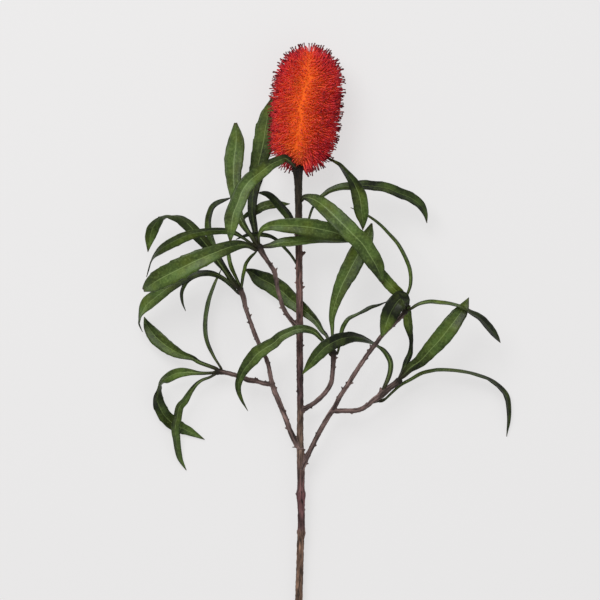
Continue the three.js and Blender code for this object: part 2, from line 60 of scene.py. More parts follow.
TWIGS = {
    "long left": [
        (-24.6, -106, 16.6, 2.6), (-29.2, -100, 17.1, 3.1), (-34.7, -88.5, 17.8, 2.8),
        (-39.7, -75, 18.7, 2.6), (-45.7, -60, 19.6, 2.8), (-51.8, -45, 20.6, 2.8),
        (-54.8, -32, 21.4, 2.3), (-58, -18, 22.2, 2.3), (-64.5, -4.5, 23.2, 2.2),
        (-70.7, 10, 24.1, 2.4), (-75.7, 24, 24.8, 2.2), (-79.7, 36, 25, 2.4), (-81.7, 46, 25, 2.8),
        (-85, 54, 25, 3)],
    "lower left": [
        (-50, -42, 21, 2.1), (-54, -41.4, 20.5, 2.6), (-61, -40.7, 19.5, 2.4),
        (-69, -38.4, 18.3, 2.5), (-77, -37.2, 17.4, 2.9), (-84, -34.4, 16.5, 2.4),
        (-91, -32.1, 16, 2.4), (-100, -29.9, 15.5, 2.5), (-107.5, -29, 15.5, 3)],
    "upper left": [
        (-25, 12, 23.9, 2.4), (-31, 19.5, 25.5, 2.6), (-37, 27, 28, 2.3), (-42, 36, 31, 2.3),
        (-45, 45, 33.5, 2.1), (-47.4, 55, 36.3, 2.2), (-49, 64, 39, 2.3), (-50.5, 71, 41, 2.5),
        (-54, 77, 42.5, 2.3), (-58.5, 83.5, 44, 2.4), (-62, 89, 45, 2.9), (-65.3, 95.5, 46, 3.5)],
    "inner right": [
        (-24, -66.7, 18.5, 2.4), (-19.5, -65.6, 20, 3), (-15.3, -63, 22, 2.5),
        (-9.8, -59.6, 24, 2.5), (-3.8, -54.2, 26, 2.5), (1.4, -48.4, 28, 2.5), (5, -42.4, 30, 2.6),
        (7, -36.4, 31.5, 2.5), (7.6, -29.8, 33, 2.5), (8.1, -22.5, 35, 2.5), (8.5, -15.2, 37, 2.8),
        (8.5, -9.7, 38, 3)],
    "long right": [
        (-24, -128, 15, 2.8), (-20, -118.4, 16.2, 3), (-14, -106.4, 18, 2.6),
        (-6, -90.4, 21.3, 2.6), (2, -75.9, 24.5, 2.7), (9.6, -64.2, 26.5, 2.5),
        (15.6, -52.7, 29, 2.4), (23.2, -41.2, 31.5, 2.4), (30.2, -29.7, 34, 2.4),
        (38.2, -17.7, 37, 2.3), (45.2, -7.7, 39.5, 2.4), (50.7, -0.7, 41.5, 2.3),
        (56.1, 6.8, 43.5, 2.2), (63.6, 14.5, 46, 2.2), (71.6, 22, 48, 2.1), (80, 31.5, 49.7, 2.5)],
    "lower right": [
        (7, -68.4, 25.8, 2), (10.5, -68.3, 25.8, 2.6), (14, -68.2, 25.6, 2.5),
        (21.3, -67.9, 25.3, 2.5), (29, -67.9, 25, 2.6), (36.3, -66.4, 25, 2.5),
        (43, -62.4, 25, 2.5), (47.5, -58.2, 25, 2.8), (53.9, -54, 25, 3.4), (58.5, -49.9, 25, 4),
        (64.2, -45.3, 25.2, 3.3), (73.7, -38.5, 26, 3.5)],
}
STUBS = [
    # x and y of the place on the wood, the side it stands out on, how far, and how wide, in mm
    (-22, 88.5, 1, 3.2, 2.6), (-22, 54, 1, 2.4, 1.5), (-27.5, 72, -1, 1.6, 1.1),
    (-27.5, 62, -1, 1.8, 1.1), (-28.6, -104, -1, 3.4, 1.1), (-21, -120, 1, 2.2, 1.5),
    (-22, -68, 1, 2.0, 1.4), (-50, 73, 1, 2.2, 1.3), (-42, 36, -1, 2.4, 1.2),
    (-74, 28, 1, 2.4, 1.3), (-77, 21, -1, 2.0, 1.2), (-51, -46, 1, 1.6, 1.1),
    (11, -15, 1, 2.2, 1.2), (45, -3, -1, 2.6, 1.3), (17, -46, -1, 2.2, 1.3), (26, -39, 1, 2.4, 1.3),
    (58, -49, -1, 2.4, 2.2), (-70, -37, 1, 1.8, 1.2), (-36, -84, -1, 1.8, 1.2),
    (-62, -10, 1, 1.8, 1.2),
]
# The stubs on the boughs' backs: mm from one to the next and how far that varies, radians round
# the bough from one to the next, their heights and widths in mm, and where in y the stem has them
STUB_SPACING = 13
STUB_SCATTER = 0.55, 1.5
STUB_TURN = 2.4
STUB_HEIGHTS = 0.9, 1.6
STUB_WIDTHS = 1.0, 1.4
STUB_STRETCH = -0.2, 0.135
STUB_LEAN = 0.75                 # how far a stub leans along its bough
STUB_TAPER = 0.42                # a stub's width at its end, as a share of its foot
KNOB = 0.6                       # mm that the knob at a twig's end is thicker than the twig
PLACES_A_STEP = 10               # read off a centre line from one row of its table to the next
GRAIN_PLACES = 8                 # the same, for the bark's grain
GRAIN_START = 1.7                # m between the boughs' grains, so that no two are alike
TWIG_END = 7                     # mm over which a twig's end is dark
VOXEL = 0.0006                   # size of the cells that weld the wood into one skin
CHUNK = 4000                     # points of that skin that are worked on at a time


def in_metres(rows):
    return [Vector(row[:3]) * MM for row in rows]


def new_piece(form, name, **settings):
    """One of Blender's own forms, with nothing else selected."""
    bpy.ops.object.select_all(action="DESELECT")
    form(**settings)
    bpy.context.object.name = name
    return bpy.context.object


def make_active(piece):
    """Leaves only this piece selected."""
    bpy.ops.object.select_all(action="DESELECT")
    piece.select_set(True)
    bpy.context.view_layer.objects.active = piece


def apply_modifier(piece, name, kind, **settings):
    modifier = piece.modifiers.new(name, kind)
    for setting, value in settings.items():
        setattr(modifier, setting, value)
    bpy.ops.object.modifier_apply(modifier=name)


def read_points(mesh):
    points = np.empty(len(mesh.vertices) * 3, dtype=np.float32)
    mesh.vertices.foreach_get("co", points)
    return points.reshape(-1, 3)


def set_attribute(mesh, name, values, kind="FLOAT", field="value"):
    mesh.attributes.new(name, kind, "POINT").data.foreach_set(field, values)


def rest_on_floor(piece):
    """Presses flat what would reach into the floor."""
    for vertex in piece.data.vertices:
        vertex.co.z = max(vertex.co.z, LOWEST)


def catmull_handles(points):
    """How far each Bezier handle lies from its point, for a curve that runs smoothly through."""
    last = len(points) - 1
    handles = []
    for index in range(len(points)):
        reach = points[min(index + 1, last)] - points[max(index - 1, 0)]
        handles.append(reach / (6 if 0 < index < last else 3))
    return handles


def grown_curve(name, points, radii=None, tilts=None):
    """A Bezier curve through the points, from the Bezier primitive."""
    curve = new_piece(bpy.ops.curve.primitive_bezier_curve_add, name)
    curve.data.twist_mode = "Z_UP"
    spline = curve.data.splines[0]
    spline.resolution_u = 12
    spline.radius_interpolation = "CARDINAL"
    spline.tilt_interpolation = "CARDINAL"
    spline.bezier_points.add(len(points) - 2)
    for index, (bezier, handle) in enumerate(zip(spline.bezier_points, catmull_handles(points))):
        bezier.handle_left_type = "FREE"
        bezier.handle_right_type = "FREE"
        bezier.co = points[index]
        bezier.handle_left = points[index] - handle
        bezier.handle_right = points[index] + handle
        bezier.radius = radii[index] if radii else 1
        bezier.tilt = tilts[index] if tilts else 0
    return curve


def places_along(rows, steps=PLACES_A_STEP):
    """Evenly stepped places on the curve through a table's rows."""
    points = in_metres(rows)
    handles = catmull_handles(points)
    places = []
    for index in range(len(points) - 1):
        places += interpolate_bezier(
            points[index], points[index] + handles[index],
            points[index + 1] - handles[index + 1], points[index + 1], steps + 1)[:-1]
    return places + [points[-1]]


def directions(places, index):
    """Along the bough at this place, and level across it."""
    along = (places[index + 1] - places[index - 1]).normalized()
    return along, along.cross(UP).normalized()


def radius_at(rows, index):
    return rows[min(index // PLACES_A_STEP, len(rows) - 1)][3]


def bough(name, rows):
    """A round length of wood, as a mesh."""
    curve = grown_curve(name, in_metres(rows), radii=[row[3] for row in rows])
    curve.data.bevel_depth = MM
    curve.data.bevel_resolution = 5
    curve.data.use_fill_caps = True
    bpy.ops.object.convert(target="MESH")
    return bpy.context.object


def stub(root, outward, along, height, width):
    """The stub of a fallen leaf: a blunt cone, sunk in the wood, that leans along the bough."""
    lean = (outward + along * STUB_LEAN).normalized()
    return new_piece(
        bpy.ops.mesh.primitive_cone_add, "stub", vertices=8, radius1=width,
        radius2=width * STUB_TAPER, depth=height * 2, location=root + outward * height * 0.2,
        rotation=lean.to_track_quat("Z", "Y").to_euler())


draw = random.Random(11)
boughs = [MAIN_STEM, *TWIGS.values()]
wood_parts = [bough("main stem", MAIN_STEM)]
for twig_name, twig in TWIGS.items():
    wood_parts.append(bough(twig_name, twig))
    x, y, z, radius = twig[-1]
    wood_parts.append(new_piece(
        bpy.ops.mesh.primitive_uv_sphere_add, "knob", segments=16, ring_count=10,
        radius=(radius + KNOB) * MM, location=(x * MM, y * MM, z * MM)))

for rows in boughs:
    places = places_along(rows)
    travelled = 0
    turn = draw.uniform(0, 6)
    next_stub = STUB_SPACING * MM * 0.8
    for index in range(1, len(places) - 4):
        travelled += (places[index] - places[index - 1]).length
        if travelled < next_stub:
            continue
        next_stub += STUB_SPACING * MM * draw.uniform(*STUB_SCATTER)
        if rows is MAIN_STEM and not STUB_STRETCH[0] <= places[index].y <= STUB_STRETCH[1]:
            continue
        turn += STUB_TURN
        along, across = directions(places, index)
        outward = Matrix.Rotation(turn, 3, along) @ across
        if outward.z > -0.3:     # it would face the viewer, where STUBS has its own
            outward = Matrix.Rotation(math.pi, 3, along) @ outward
        root = places[index] + outward * (radius_at(rows, index) * MM)
        wood_parts.append(stub(root, outward, along, draw.uniform(*STUB_HEIGHTS) * MM,
                               draw.uniform(*STUB_WIDTHS) * MM))

for x, y, side, height, width in STUBS:
    nearest = None
    for rows in boughs:
        places = places_along(rows)
        for index in range(1, len(places) - 1):
            apart = math.hypot(places[index].x - x * MM, places[index].y - y * MM)
            if nearest is None or apart < nearest[0]:
                nearest = (apart, places, index, radius_at(rows, index))
    apart, places, index, radius = nearest
    along, across = directions(places, index)
    outward = across * side
    root = places[index] + outward * radius * MM * 0.9
    wood_parts.append(stub(root, outward, along, height * MM, width * MM))

# The pieces are welded into one skin, which closes round the forks, and the skin gets its bark.
make_active(wood_parts[0])
for part in wood_parts:
    part.select_set(True)
bpy.ops.object.join()
wood = bpy.context.object
wood.name = "wood"
bpy.ops.object.transform_apply(location=True, rotation=True, scale=True)
apply_modifier(wood, "weld", "REMESH", mode="VOXEL", voxel_size=VOXEL)
apply_modifier(wood, "ease", "SMOOTH", factor=0.5, iterations=3)

# Each point of the skin learns where it lies on its bough: its two offsets and how far along. It
# also learns whether that is a twig, and how near to the twig's end.
skin_points = read_points(wood.data)
centre_lines = []
for bough_number, rows in enumerate(boughs):
    places = places_along(rows, GRAIN_PLACES)
    travelled = bough_number * GRAIN_START
    is_twig = rows is not MAIN_STEM
    for index, place in enumerate(places):
        if index:
            travelled += (place - places[index - 1]).length
        ahead = places[min(index + 1, len(places) - 1)] - places[max(index - 1, 0)]
        near_end = is_twig and math.exp(-(place - places[-1]).length / MM / TWIG_END)
        centre_lines.append((*place, *ahead.normalized(), travelled, is_twig, near_end, 0))
centre_lines = np.array(centre_lines, dtype=np.float32)
line_points, line_along = centre_lines[:, :3], centre_lines[:, 3:6]
line_travel, line_kind = centre_lines[:, 6], centre_lines[:, 7:]
grain = np.empty_like(skin_points)
kind = np.empty_like(skin_points)
for start in range(0, len(skin_points), CHUNK):
    chunk = slice(start, start + CHUNK)
    nearest = ((skin_points[chunk, None] - line_points[None]) ** 2).sum(-1).argmin(1)
    offset = skin_points[chunk] - line_points[nearest]
    forward = line_along[nearest]
    across = np.cross(forward, UP)
    across /= np.linalg.norm(across, axis=1, keepdims=True)
    grain[chunk, 0] = (offset * across).sum(-1)
    grain[chunk, 1] = (offset * np.cross(across, forward)).sum(-1)
    grain[chunk, 2] = line_travel[nearest] + (offset * forward).sum(-1)
    kind[chunk] = line_kind[nearest]
set_attribute(wood.data, "bark_grain", grain.ravel(), "FLOAT_VECTOR", "vector")
set_attribute(wood.data, "bark_kind", kind.ravel(), "FLOAT_VECTOR", "vector")

ridges = bpy.data.textures.new("bark ridges", "CLOUDS")
ridges.noise_scale = 0.0036
ridges.noise_depth = 3
apply_modifier(wood, "bark", "DISPLACE", texture=ridges, texture_coords="LOCAL", mid_level=0.5,
               strength=0.0009)
rest_on_floor(wood)
bpy.ops.object.shade_smooth()


class Skin:
    """A material, and short ways to add to its nodes. A value is a constant or a node's output."""

    def __init__(self, name, roughness, gloss):
        self.material = bpy.data.materials.new(name)
        self.material.use_nodes = True
        self.tree = self.material.node_tree
        self.shader = self.tree.nodes["Principled BSDF"]
        self.fill(self.shader, {"Roughness": roughness, "Specular IOR Level": gloss})

    def fill(self, node, values):
        for name, value in values.items():
            socket = node.inputs[name]
            if isinstance(value, bpy.types.NodeSocket):
                self.tree.links.new(value, socket)
            else:
                socket.default_value = (*value, 1) if socket.type == "RGBA" else value

    def add(self, kind, values, output=0, **settings):
        node = self.tree.nodes.new("ShaderNode" + kind)
        for setting, value in settings.items():
            setattr(node, setting, value)
        self.fill(node, values)
        return node.outputs[output]

    def attribute(self, name, output="Fac"):
        return self.add("Attribute", {}, output, attribute_name=name)

    def split(self, vector):
        return self.add("SeparateXYZ", {"Vector": vector}).node.outputs

    def noise(self, vector, scale, detail, roughness=0.5):
        return self.add("TexNoise", {"Vector": vector, "Scale": scale, "Detail": detail,
                                     "Roughness": roughness}, "Fac")

    def stretched(self, vector, scale):
        return self.add("Mapping", {"Vector": vector, "Scale": scale})

    def math(self, operation, *values):
        return self.add("Math", dict(enumerate(values)), operation=operation)

    def times(self, first, second):
        return self.math("MULTIPLY", first, second)

    def mapped(self, value, from_min, from_max, to_min=0.0, to_max=1.0):
        return self.add("MapRange", {"Value": value, "From Min": from_min, "From Max": from_max,
                                     "To Min": to_min, "To Max": to_max})

    def blended(self, share, first, second, blend_type="MIX"):
        return self.add("Mix", {0: share, 6: first, 7: second}, 2, data_type="RGBA",
                        blend_type=blend_type)

    def ramp(self, value, colours):
        node = self.add("ValToRGB", {"Fac": value}).node
        stops = node.color_ramp.elements
        for stop, (place, colour) in ((stops[0], colours[0]), (stops[1], colours[-1])):
            stop.position = place
            stop.color = (*colour, 1)
        for place, colour in colours[1:-1]:
            stops.new(place).color = (*colour, 1)
        return node.outputs["Color"]

    def roughen(self, relief, strength, depth):
        """Adds fine relief, in the shading alone, this many metres deep."""
        bump = self.add("Bump", {"Strength": strength, "Distance": depth, "Height": relief})
        self.fill(self.shader, {"Normal": bump})


bark = Skin("bark", 0.72, 0.3)
on_bough = bark.attribute("bark_grain", "Vector")
fibres = bark.noise(bark.stretched(on_bough, (620, 620, 75)), 1, 6, 0.62)
patches = bark.noise(bark.stretched(on_bough, (170, 170, 60)), 1, 3)
_, up_stem, _ = bark.split(bark.add("TexCoord", {}, "Object"))
on_twig, twig_end, _ = bark.split(bark.attribute("bark_kind", "Vector"))
# The stem changes along its length; the twigs are as the stem is at two thirds of its height.
age = bark.add("Mix", {0: on_twig, 2: bark.mapped(up_stem, -0.3, 0.18), 3: 0.64})
colour = bark.ramp(age, [
    (0.0, (0.15, 0.092, 0.062)), (0.2, (0.135, 0.078, 0.052)), (0.228, (0.12, 0.07, 0.05)),
    (0.236, (0.07, 0.035, 0.034)), (0.3, (0.10, 0.042, 0.044)), (0.34, (0.08, 0.044, 0.040)),
    (0.4, (0.105, 0.068, 0.05)), (0.48, (0.10, 0.062, 0.046)), (0.51, (0.062, 0.034, 0.034)),
    (0.62, (0.075, 0.041, 0.037)), (0.75, (0.115, 0.062, 0.054)), (0.82, (0.085, 0.046, 0.038)),
    (0.9, (0.026, 0.019, 0.012)), (0.95, (0.02, 0.016, 0.009)), (1.0, (0.012, 0.008, 0.007))])
# Grain colour, partly painted shade: the bark is painted darker between its fibres and lighter on
# them, from the same noise as their relief.
grain_and_crevice_shade = bark.times(bark.mapped(fibres, 0.36, 0.66, 0.2, 2.3),
                   bark.mapped(patches, 0.3, 0.7, 0.45, 1.6))
colour = bark.add("VectorMath", {0: colour, "Scale": grain_and_crevice_shade}, operation="SCALE")
# Twigs are paler and pinker than the stem, and their ends, where the leaves spring, nearly black.
colour = bark.blended(on_twig, colour, (1.38, 1.65, 1.65), "MULTIPLY")
colour = bark.blended(twig_end, colour, (0.014, 0.011, 0.006))
bark.fill(bark.shader, {"Base Color": colour})
bark.roughen(fibres, 0.5, 0.0005)
wood.data.materials.clear()
wood.data.materials.append(bark.material)

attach(wood, "root")
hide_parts("woody_stem")

# ------------------------------------------------------------------------------------ the leaves
# Narrow leathery blades, each on a short stalk that springs from a cushion on the wood. A pale
# midrib runs to the point, and the outer half of both edges has small forward teeth.

LEAVES = {
    # node: tones, partly the leaf's own colour and partly painted light and shade, then widths in
    # mm and rolls in degrees, all at even steps from stalk to tip, how much of the teeth it has,
    # and the route that its midrib takes from the wood, in mm
    "leaf_upper_left_1": (
        [0.1, 0.5, 0.8, 0.7, 0.75, 0.6], [4.6, 4.8, 8, 9, 12.5, 16.5, 19, 15.5, 3], [0, 5, 8], 0.4,
        [(-68, 98, 47), (-73, 106, 49), (-79, 114, 49.5), (-84, 123, 47), (-87.5, 135, 41.5),
         (-89.5, 147, 37.5), (-91, 158, 34), (-91.5, 171, 31.5), (-91, 183, 29.5),
         (-89.8, 193, 28.5), (-88.8, 203, 28), (-89.1, 213, 27.5), (-89.5, 220.5, 27)]),
    "leaf_upper_left_2": (
        [0, 0, 0.08, 0.45, 0.72, 0.5], [3.6, 5.5, 8, 10.3, 13.8, 17.8, 19.8, 15, 0.5], [0, 0, 0],
        1.3,
        [(-66.5, 98.5, 43), (-69, 108, 31), (-71, 118, 23), (-73, 128, 16), (-73, 140, 10),
         (-72.2, 151, 6), (-69.9, 163, 2), (-67.8, 176, 0.5), (-64.1, 192, 0.5), (-61.5, 204, 0.5),
         (-60, 215, 0.5), (-57, 230, 0.5), (-52, 249, 1.4)]),
    "leaf_upper_left_3": (
        [0.05, 0.3, 0.6, 0.8, 0.6, 0.1], [3, 3, 7, 10, 12, 13, 12, 8, 0.4],
        [20, 30, 38, 48, 44, 38, 48, 88, 110], 0.6,
        [(-68, 96, 47), (-74, 99.5, 51), (-81, 104.5, 55), (-90, 110, 58), (-98, 112, 59),
         (-114, 112.3, 60), (-128, 110, 59), (-138, 107.5, 58), (-150, 102, 55), (-160, 96.5, 51),
         (-168, 90, 46.5), (-173, 84, 43), (-176, 76, 39), (-178.5, 66, 35.5)]),
    "leaf_upper_left_4": (
        [0.05, 0.3, 0.6, 0.9, 0.7, 0.6], [3.2, 6, 12, 15.5, 18.5, 20.5, 20.5, 17, 4], [0, -6, -8],
        1.0,
        [(-69, 93, 47), (-76, 97, 55), (-84, 98, 62), (-95, 95.5, 69), (-113, 88.5, 74),
         (-130, 81, 75), (-146, 73, 72), (-162, 65, 66), (-173, 58.5, 57), (-181, 53, 46)]),
    "leaf_upper_left_5": (
        [0.3, 0.8, 0.8, 0.7, 0.6, 0.5], [2.6, 3.4, 9, 14, 16.5, 18, 17, 11, 0.5], [0, -8, -12], 0.4,
        [(-66, 100, 48), (-66, 107, 53), (-63.1, 112.8, 57), (-57.6, 115.8, 59),
         (-49.6, 117.3, 60.5), (-34.6, 117, 62.5), (-20, 116, 64), (-5, 113.5, 64), (10, 110, 62.5),
         (22, 105, 60), (30, 100, 57.5)]),
    "leaf_upper_left_6": (
        [0.2, 0.5, 0.8, 0.9, 0.7, 0.4], [2.6, 6, 10, 12, 12, 11, 8.5, 5, 0.4],
        [0, 20, 35, 40, 50, 60, 60], 0.3,
        [(-63, 96, 46), (-55, 97.3, 48.5), (-45, 99.8, 50.5), (-35, 100.5, 51.5), (-25, 101.5, 52),
         (-15, 102.5, 51.5), (-3, 102.5, 50), (10, 101, 47.5), (27, 100.8, 43)]),
    "leaf_upper_left_7": (
        [0, 0, 0, 0.15, 0.75, 0.6], [2.4, 2.6, 2.8, 3, 3.6, 8, 9.5, 8, 0.4], [0, 10, 20, 20, 20],
        0.3,
        [(-68, 97, 42), (-74, 106, 30), (-80, 116, 18), (-82, 124, 11), (-78, 128.5, 8),
         (-70, 131.8, 7), (-62, 136.8, 7), (-53, 138.8, 7.5), (-45, 139, 8), (-35, 139.7, 9)]),
    "leaf_left_1": (
        [0, 0.1, 0.3, 0.35, 0.2, 0.1], [2.6, 3, 7.2, 9.2, 9.7, 9.2, 8.2, 6.2, 0.4],
        [20, 40, 46, 46, 40], 0.3,
        [(-86, 56, 22), (-101.5, 77, 18), (-111, 96, 15), (-116.5, 116, 14), (-115, 130, 15),
         (-110, 138.5, 17), (-98, 144, 19), (-93, 146, 20)]),
    "leaf_left_2": (
        [0.05, 0.2, 0.3, 0.3, 0.6, 0.7], [3, 4, 7, 10.5, 13.5, 14.5, 15.1, 12.6, 0.5],
        [180, 175, 170, 165, 152, 122, 72, 22, 8], 0.4,
        [(-87, 55, 27), (-95, 63.5, 29), (-101, 73.5, 31), (-108, 82.5, 33), (-117, 96, 35),
         (-127, 108, 36), (-135, 117, 36), (-144.8, 124.8, 36), (-156.2, 127.8, 35),
         (-163.2, 126.8, 33), (-166.2, 124.8, 32), (-171.9, 117, 30), (-174.9, 108, 28),
         (-176.4, 99, 26), (-177.4, 91, 25)]),
    "leaf_left_3": (
        [0.1, 0.15, 0.1, 0.1, 0.85, 0.7, 0.3], [2.6, 2.8, 5, 9.5, 12.5, 15, 15, 9, 0.4],
        [-10, -20, -35, -38, -38, -26, -18, -72, -88], 0.4,
        [(-88, 55, 26), (-96, 61.5, 29.5), (-104, 66.5, 32), (-113, 70, 33), (-123, 69.5, 34),
         (-135, 66, 34), (-147, 60, 33), (-159, 53.5, 31.5), (-169, 46, 30), (-178.3, 38, 28),
         (-183.3, 30, 25.5), (-185.3, 23, 23), (-185.8, 18, 21), (-183, 11, 18)]),
    "leaf_left_4": (
        [0, 0.1, 0.2, 0.3], [2.4, 3, 5, 6, 7.1, 6.6, 5.6, 4, 0.3], [20, 50, 55], 0.2,
        [(-87, 50, 22), (-104, 66, 18), (-122, 70, 16), (-137, 64, 15), (-144, 52, 14),
         (-143.5, 41, 12), (-140, 32, 9)]),
    "leaf_left_5": (
        [0.1, 0.3, 0.8, 0.7], [2.6, 2.8, 3.2, 4, 5, 5.2, 5, 3.6, 0.4], [10, 40, 40], 0.2,
        [(-85, 57, 26), (-90, 68, 31), (-94, 78, 32), (-96, 88, 31), (-96.5, 98, 29)]),
    "leaf_left_6": (
        [0.1, 0.2, 0.6, 0.3, 0.1], [2.6, 2.8, 3.2, 3.6, 3.8, 3.6, 3.2, 2.6, 0.6], [10, 20, 20], 0.0,
        [(-84, 54, 27), (-83, 60, 29), (-82, 67, 32), (-80.5, 73, 34), (-79, 79, 35), (-75, 85, 36),
         (-70, 90, 36.5), (-67, 93, 37)]),
    "leaf_lower_left_1": (
        [0.05, 0.2, 0.5, 0.6, 0.5, 0.5], [3.8, 4, 4.6, 7, 11.6, 14.1, 14.6, 10, 0.6], [0, 8, 12],
        0.4,
        [(-109.6, -25.8, 16.5), (-125.4, -19.8, 17), (-133.1, -15.1, 17), (-144.1, -11.7, 16.5),
         (-156.1, -5.2, 15), (-168.1, 4.3, 12), (-177.1, 15.3, 9), (-181.8, 26, 6)]),
    "leaf_lower_left_2": (
        [0.1, 0.3, 0.6, 0.6], [2.6, 3, 6, 9, 10, 10, 8.5, 6, 0.4], [30, 62, 66, 66], 0.2,
        [(-104, -26, 16), (-112, -12.5, 15), (-118, 4, 14), (-119, 22, 12), (-116, 41, 11),
         (-110.5, 58, 10), (-104, 74, 9)]),
    "leaf_lower_left_3": (
        [0.1, 0.6, 0.8, 0.2, 0.3, 0.5, 0.8], [3, 4, 9.8, 12.8, 13.3, 13.5, 13, 9, 0.4],
        [0, 0, 0, 2, 10, 25, 52, 84, 60, 38, 25, 15, 10, 5, 5, 0, 0], 1.1,
        [(-108, -29, 16.5), (-112, -30, 17), (-124, -30.5, 19), (-136, -29.4, 20),
         (-147, -29.9, 20), (-155, -32.9, 19), (-162.8, -37.4, 17.5), (-166.3, -41, 16),
         (-167.8, -45, 15), (-169.3, -51, 12), (-168.3, -60, 8.5), (-163, -71, 6), (-156, -79, 3.5),
         (-146, -85, 2.3), (-136, -89.5, 1.8), (-121, -97.5, 1.3)]),
    "leaf_lower_left_4": (
        [0.1, 0.4, 0.6, 0.5, 0.5], [2.6, 3, 5, 8.3, 9.6, 9.8, 8.6, 6.5, 0.4], [10, 30, 36, 36], 0.2,
        [(-108, -30, 16), (-111, -32, 17), (-116.5, -34.9, 18.5), (-123, -37.2, 19.5),
         (-129, -41.4, 20.5), (-134.7, -48.3, 21), (-140.7, -57.8, 20.3), (-146.3, -64.4, 18.5),
         (-148.5, -75, 16), (-150.9, -85.5, 12.5), (-149.7, -96, 9), (-148.4, -106.5, 6),
         (-145.9, -117, 3.3), (-139.4, -128.5, 1.3)]),
    "leaf_inner_right_1": (
        [0.05, 0.2, 0.5, 0.7, 0.35, 0.2], [2.6, 3, 5.5, 9.5, 14.4, 17.7, 18.6, 15.4, 0.6],
        [0, 6, 6], 0.0,
        [(6, -10, 35.5), (4.6, -1.7, 33.5), (1.6, 7.3, 31), (-3, 12.3, 28), (-8, 20.3, 24),
         (-15, 27.8, 20), (-23.4, 34.7, 16), (-34.2, 43.4, 12.5), (-44.2, 52.4, 10.5),
         (-55.2, 59.9, 9.5), (-65.2, 64.9, 9), (-73.7, 70.8, 8.5), (-80.9, 74.2, 8)]),
    "leaf_inner_right_2": (
        [0.1, 0.4, 0.5, 0.6, 0.3, 0.4], [2.8, 3.8, 7.6, 9.6, 12.1, 14.1, 9, 4.6, 0.3],
        [0, -14, -18, -16], 0.9,
        [(5.5, -12, 39), (3, -3, 44), (-3.2, 3.6, 48), (-10.5, 11, 51), (-19.4, 14, 52.5),
         (-27.7, 13.6, 52), (-36.1, 10.6, 51), (-44.4, 6.3, 50), (-51.5, -0.2, 48.5),
         (-59.9, -5.4, 46.5), (-67.9, -11.2, 44.5), (-74.2, -18.6, 42), (-79.4, -24.9, 40),
         (-83.7, -32.2, 37.5), (-86.4, -40.6, 35), (-86.2, -48.8, 32), (-83.2, -57.2, 29.5),
         (-79.9, -63.5, 28), (-77.2, -68.3, 26)]),
    "leaf_inner_right_3": (
        [0.1, 0.7, 0.7, 0.6, 0.8, 0.5], [2.4, 3, 6, 11, 15.5, 19, 19, 15, 1.6], [20, 10, 10], 0.3,
        [(9, -6, 38.5), (7.5, 4, 41), (7.3, 15, 43.5), (7.1, 26, 45.5), (10.6, 41, 46.5),
         (16.6, 57, 47), (23.7, 71, 47.3), (30, 83, 47.5), (36.5, 95, 47), (42.6, 106.6, 46),
         (46.6, 119.6, 44)]),
    "leaf_inner_right_4": (
        [0.1, 0.6, 0.4, 0.05, 0], [2.2, 2.6, 4, 5, 4.6, 3.4, 4.6, 3, 0.4], [20, 36, 36], 0.0,
        [(12.5, -10, 36.5), (15.9, 5.3, 39.5), (17.3, 13.3, 41.5), (20.3, 19.8, 43),
         (24.4, 24.6, 43.5), (31.4, 28.1, 44), (39.4, 32.1, 44), (46, 35.6, 44), (54, 38, 43.5),
         (62, 41.5, 43)]),
    "leaf_right_1": (
        [0.1, 0.5, 0.6, 0.5], [2.2, 3, 4.5, 5.5, 5.5, 5, 4.2, 3, 0.3], [20, 50, 55, 55], 0.0,
        [(79, 42, 50), (81, 46.5, 51.5), (85, 57.4, 53), (85.5, 69.2, 54), (82.4, 81.3, 52),
         (73.8, 98.3, 46), (63.5, 110.4, 41), (53.8, 120.1, 37.5), (42.9, 127.7, 35.5),
         (33, 132.5, 34.5), (25.5, 135.4, 34)]),
    "leaf_right_2": (
        [0.9, 1, 0.9, 0.8], [4, 7, 9.5, 11, 11.5, 11.5, 10, 6.5, 0.5], [0, 12, 16], 0.2,
        [(75, 42, 51), (74, 49, 57), (67.8, 55, 60), (59.8, 64, 60), (51.8, 74, 58),
         (44.2, 84.5, 55)]),
    "leaf_right_3": (
        [0.05, 0.15, 0.2, 0.1, 0, 0.7, 0.85, 0.65], [5, 11, 15, 17, 18, 17, 13, 7.5, 0.6],
        [0, 0, 0], 0.2,
        [(78.5, 34, 50), (78, 40, 58), (75.5, 44, 66), (71.5, 41, 71.5), (66.2, 33, 72),
         (62.7, 25, 69.5), (59.2, 15, 63), (55.7, 6, 56)]),
    "leaf_right_4": (
        [0.4, 0.6, 0.5, 0.05, 0.1, 0.1], [2.4, 3.9, 6.4, 8.9, 9.9, 9.6, 10.1, 8, 0.4],
        [20, 35, 55, 70, 74, 52, 40, 35, 30], 0.2,
        [(81, 32.5, 50), (86, 34.6, 52.5), (91, 37.9, 54), (97, 40.1, 54.5), (105, 41.1, 55),
         (115, 39.8, 55.5), (125, 38.3, 56.5), (135, 35.3, 57), (144.7, 29.7, 55),
         (154.7, 24.2, 49), (165, 13.6, 39), (171.8, 5.7, 31), (175.8, 0.2, 25)]),
    "leaf_lower_right_1": (
        [0.1, 0.1, 0.05, 0.1, 0.9, 0.5], [3, 5.5, 6.5, 5.7, 4.2, 6.2, 10.2, 9, 6], [20, 30, 30],
        0.0,
        [(75, -35, 24.5), (79, -28, 24), (81.8, -19.5, 24.5), (85.5, -11, 25), (86.5, -2, 26.5),
         (86.5, 4, 27.5), (85, 12, 29), (83.5, 21, 31), (83.2, 30, 32), (83, 38, 33)]),
    "leaf_lower_right_2": (
        [0.1, 0.3, 0.6, 0.75, 0.5, 0.6], [3, 8, 12, 15, 17.5, 18.5, 17.5, 12, 0.5], [0, 8, 10], 0.3,
        [(75, -36, 27), (79, -32, 28.5), (85, -25, 32), (95, -18, 37), (105, -7, 43), (115, 4, 49),
         (123.5, 15, 54), (131, 25, 54), (137.5, 34, 53), (143.3, 45.5, 49)]),
    "leaf_lower_right_3": (
